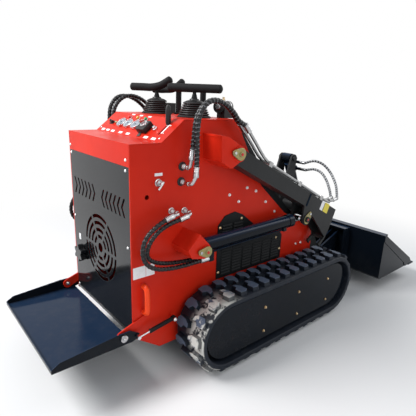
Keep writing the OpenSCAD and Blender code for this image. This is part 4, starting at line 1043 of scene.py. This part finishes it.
def keeper(piece, x, z, lean, y, big=0.0245, thick=0.0052, head=0.0105, tall=0.0046):
    """Yellow zinc keeper plate on the end of a pin: an egg-shaped plate, its bolt, and the pin's red end."""
    small, gap = 0.0120, big + 0.009
    outline = [(big * math.cos(a), big * math.sin(a)) for a in (math.radians(-105 + k * 17.5) for k in range(13))]
    outline += [(-gap + small * math.cos(a), small * math.sin(a)) for a in (math.radians(105 + k * 18.75) for k in range(9))]
    plate = prism(outline, thick, 0.0008, 1)
    face = (0, -1, 0)
    foot = at(x, y - 0.1, z)
    turned = [Matrix.Rotation(lean, 3, "Y") @ (p - foot) + foot for p in put(plate, foot, face)[0]]
    piece.both((turned, plate[1]), YELLOW_ZINC)
    top = foot + Vector((0, 0.0001 - thick, 0))
    piece.both(put(lathe([(head, 0), (head, tall - 0.0014), (head - 0.0013, tall), (0, tall)], 28), top, face), YELLOW_ZINC)
    piece.both(put(lathe([(head * 0.6, 0), (head * 0.6, 0.0022), (head * 0.45, 0.0032), (0, 0.0032)], 24),
                   top + Vector((0, 0.0003 - tall, 0)), face), RED_END)
    spot = top + Matrix.Rotation(lean, 3, "Y") @ Vector((-gap, 0, 0))
    piece.both(put(hexagon(0.0115, 0.0048), spot, face, 0.4), STEEL)


def make_keepers():
    piece = Piece("pin_keepers")
    keeper(piece, 423, 928, math.radians(12), BRACKET_Y - 4.8, 0.0255, 0.0078)
    keeper(piece, 267, 552, math.radians(8), CYL_BRACKET_Y - 4.8, 0.0235, 0.0078)
    piece.made("chassis", slot="zinc_steel")
    arm = Piece("rod_pin_keepers")
    keeper(arm, 935.73, 562.76, math.radians(130), ARM_OUT_Y)
    arm.made("lift_arms", slot="zinc_steel")


make_keepers()


def side_plate(x0, z0, x1, z1, y, thick=0.0005, lean=0.0):
    centre = at((x0 + x1) / 2, y, (z0 + z1) / 2)
    shape = block(((x1 - x0) / 1000, (z1 - z0) / 1000, thick), 0)
    points = [Matrix.Rotation(lean, 3, "Y") @ Vector((p.x, -p.z, p.y)) + centre for p in shape[0]]
    return points, shape[1]


def plate_on_side(piece, x0, z0, x1, z1, y, finish, lean=0.0):
    piece.add(side_plate(x0, z0, x1, z1, y, lean=lean), finish)


def make_labels():
    """Blank labels, where the photograph has printed ones."""
    piece = Piece("blank_labels")
    plate_on_side(piece, 5, 457, 60, 505, SIDE_Y - 0.05, WHITE)
    plate_on_side(piece, 61.5, 457, 100, 505, SIDE_Y - 0.05, WHITE)
    plate_on_side(piece, 102, 850, 136, 861, SIDE_Y - 0.05, WHITE)
    piece.add(put(block((0.0006, 0.020, 0.030), 0), at(-0.4, 213, 474)), WHITE)
    piece.made("chassis", slot="red_paint")
    arm = Piece("blank_arm_label")
    lean = math.radians(26.6)
    for x, half, finish in ((1064, 14, WHITE), (1102, 23, YELLOW)):
        z = 605 - (x - 1085) * math.tan(lean)
        plate_on_side(arm, x - half, z - 25, x + half, z + 25, ARM_OUT_Y - 0.05, finish, lean=lean)
    arm.made("lift_arms", slot="arm_grey")
    # end faces of the arm's wrap plates, real edges coloured dark blue as a painted reflection
    seams = Piece("arm_seams")
    seams.both(side_plate(932, 631, 944, 699, ARM_OUT_Y - 0.3, 0.0012, lean), PLATE_END_SHEEN)
    seams.made("lift_arms", slot="arm_grey")


make_labels()


def make_isolator():
    """Battery isolator with its chromed key, on the right side."""
    piece = Piece("battery_isolator")
    face = (0, -1, 0)
    spot = at(117, SIDE_Y - 0.1, 825)
    piece.add(put(lathe([(0, 0), (0.0150, 0), (0.0150, 0.003), (0.0120, 0.005), (0.0120, 0.014), (0.0100, 0.016),
                         (0, 0.016)], 32), spot, face), STEEL)
    piece.add(put(hexagon(0.020, 0.008), spot + Vector((0, -0.005, 0)), face), STEEL)
    piece.add(put(lathe([(0.0060, 0), (0.0060, 0.014), (0, 0.015)], 20), spot + Vector((0, -0.015, 0)), face), CHROME)
    key = tube(evenly([spot + Vector((0.008, -0.026, 0.006)), spot + Vector((-0.007, -0.029, -0.011)),
                       spot + Vector((-0.016, -0.029, -0.021))], 0.004), 0.0040, 14)
    piece.add(key, STEEL)
    piece.made("chassis", slot="zinc_steel")


make_isolator()


def make_fittings():
    """Bulkhead ports: rubber grommet, hex nuts, knurled collar and a bent pipe up to the hose's sleeve."""
    piece = Piece("bulkhead_elbows")
    face = (0, -1, 0)
    for n, ((x, z), route) in enumerate(zip([(226, 878), (221, 818), (176, 706), (238, 698)], UPPER + LOWER)):
        wall, wide = at(x, SIDE_Y - 0.1, z), 0.0175 if n < 2 else 0.0135
        first, second = at(*route[0]), at(*route[1])
        away = (second - first).normalized()
        end = first - away * 0.0003
        corner = Vector((wall.x, first.y, wall.z))
        piece.both(put(lathe([(0, 0), (wide, 0), (wide, 0.0030), (wide - 0.0025, 0.0045), (0, 0.0045)], 32), wall, face),
                   BOOT if n < 2 else STEEL)
        piece.both(put(hexagon(0.0205, 0.010), wall + Vector((0, -0.0045, 0)), face, 0.3), STEEL)
        knurl = [(0.0082, 0)]
        for k in range(4):
            knurl += [(0.0092, 0.001 + k * 0.003), (0.0080, 0.0025 + k * 0.003)]
        piece.both(put(lathe(knurl + [(0.0070, 0.015)], 20), wall + Vector((0, -0.0145, 0)), face), STEEL)
        bend = [wall + Vector((0, -0.014, 0)), wall.lerp(corner, 0.75), corner, corner.lerp(end, 0.5), end]
        line = evenly(smooth_path([bend[0], bend[1], wall.lerp(corner, 0.93) + (end - corner) * 0.12,
                                   corner.lerp(end, 0.45) + (wall - corner) * 0.03, end], 8), 0.003)
        piece.both(tube(line, 0.0068, 16), STEEL)
        piece.both(put(hexagon(0.0175, 0.0085), wall.lerp(corner, 0.62), face, 0.1), STEEL)
    return piece.made("chassis", ("bulkhead_fittings",), "zinc_steel")


make_fittings()


def make_canister_bands():
    """Steel bands, an end nut and a nipple on the round canister behind the right lever."""
    piece = Piece("canister_bands")
    foot, axis = at(474, -190, 1100), Vector((math.cos(math.radians(20)), math.sin(math.radians(20)), 0))
    for s in (0.018, 0.068):
        piece.add(put(lathe([(0.0255, 0), (0.0272, 0.0006), (0.0272, 0.0088), (0.0255, 0.0094)], 40), foot + axis * s, axis),
                  STEEL)
    piece.add(put(hexagon(0.022, 0.008), foot - axis * 0.0001, -axis), STEEL)
    piece.add(put(lathe([(0.0070, 0), (0.0070, 0.006), (0.0052, 0.008), (0.0052, 0.016), (0, 0.016)], 20),
                  foot + axis * 0.044 + Vector((0, 0, 0.0255))), BRASS)
    piece.made("chassis", slot="zinc_steel")


make_canister_bands()


def make_handles():
    """Bent flat-bar handles, with rounded edges."""
    piece = Piece("bent_grab_handles")
    line = [(48, 275.1, 420), (48, 292, 420), (48, 303, 414), (48, 306, 396), (48, 306, 365), (48, 306, 334),
            (48, 303, 316), (48, 292, 310), (48, 275.1, 310)]
    path = evenly(smooth_path([at(x, -y, z) for x, y, z in line], 6), 0.004)
    # the bar wears the lighter copy of the red paint: a painted sunlit highlight
    piece.both(tube(path, lambda s, turn: 0.0104 / max(abs(math.cos(turn)), abs(math.sin(turn)) * 1.05) ** 0.55, 20), SUNLIT_RED)
    for z in (310, 420):
        piece.both(put(lathe([(0, 0), (0.0145, 0), (0.0140, 0.0020), (0.0110, 0.0034), (0, 0.0034)], 24),
                       at(48, -275.1, z), (0, -1, 0)), RED)
    return piece.made("chassis", ("grab_handles",), "red_paint")


make_handles()


def make_stage():
    """A pale floor that fades into the white background, and soft lamps."""
    bpy.ops.mesh.primitive_plane_add(size=60, location=(0, 0, -0.0005))
    floor = bpy.context.object
    floor.name = "pale_floor"
    finish = Finish("pale_floor")
    tree = finish.tree
    for node in list(tree.nodes):
        if node.bl_idname == "ShaderNodeBsdfPrincipled":
            tree.nodes.remove(node)
    matt = finish.node("ShaderNodeBsdfDiffuse", {}, {"Color": (0.86, 0.86, 0.86, 1)})
    glow = finish.node("ShaderNodeEmission", {}, {"Color": (1, 1, 1, 1), "Strength": 1.0})
    far = finish.node("ShaderNodeVectorMath", {"operation": "LENGTH"}, {0: finish.place}, out="Value").over(1.25, 2.7)
    rays = [finish.node("ShaderNodeLightPath", out=o) for o in ("Is Camera Ray", "Is Glossy Ray", "Is Transmission Ray")]
    seen = (rays[0] + rays[1] + rays[2]).clamped()
    shown = finish.node("ShaderNodeMixShader", {}, {0: far * seen, 1: matt, 2: glow})
    tree.links.new(shown.socket, tree.nodes["Material Output"].inputs["Surface"])
    floor.data.materials.append(finish.material)

    world = bpy.data.worlds.new("studio")
    bpy.context.scene.world = world
    world.use_nodes = True
    nodes, links = world.node_tree.nodes, world.node_tree.links
    ambient = nodes["Background"]
    ambient.inputs["Color"].default_value = (0.86, 0.92, 1.0, 1)
    ambient.inputs["Strength"].default_value = 0.34
    white = nodes.new("ShaderNodeBackground")
    white.inputs["Color"].default_value = (1, 1, 1, 1)
    path, most, more, mix = (nodes.new(k) for k in (
        "ShaderNodeLightPath", "ShaderNodeMath", "ShaderNodeMath", "ShaderNodeMixShader"))
    most.operation = more.operation = "MAXIMUM"
    links.new(path.outputs["Is Camera Ray"], most.inputs[0])
    links.new(path.outputs["Is Glossy Ray"], most.inputs[1])
    links.new(most.outputs[0], more.inputs[0])
    links.new(path.outputs["Is Transmission Ray"], more.inputs[1])
    links.new(more.outputs[0], mix.inputs[0])
    links.new(ambient.outputs[0], mix.inputs[1])
    links.new(white.outputs[0], mix.inputs[2])
    links.new(mix.outputs[0], nodes["World Output"].inputs["Surface"])
    for name, spot, size, power in (("key_lamp", (-3.6, 1.6, 4.2), 2.2, 285), ("fill_lamp", (-1.2, -5.0, 2.6), 3.5, 52),
                                    ("front_lamp", (4.2, -1.5, 4.0), 3.0, 80)):
        data = bpy.data.lights.new(name, "AREA")
        data.size, data.energy = size, power
        lamp = bpy.data.objects.new(name, data)
        lamp.location = spot
        lamp.rotation_euler = (Vector((0, 0, 0.5)) - Vector(spot)).to_track_quat("-Z", "Y").to_euler()
        bpy.context.scene.collection.objects.link(lamp)


make_stage()

for part in patterns:
    bpy.data.objects.remove(part)
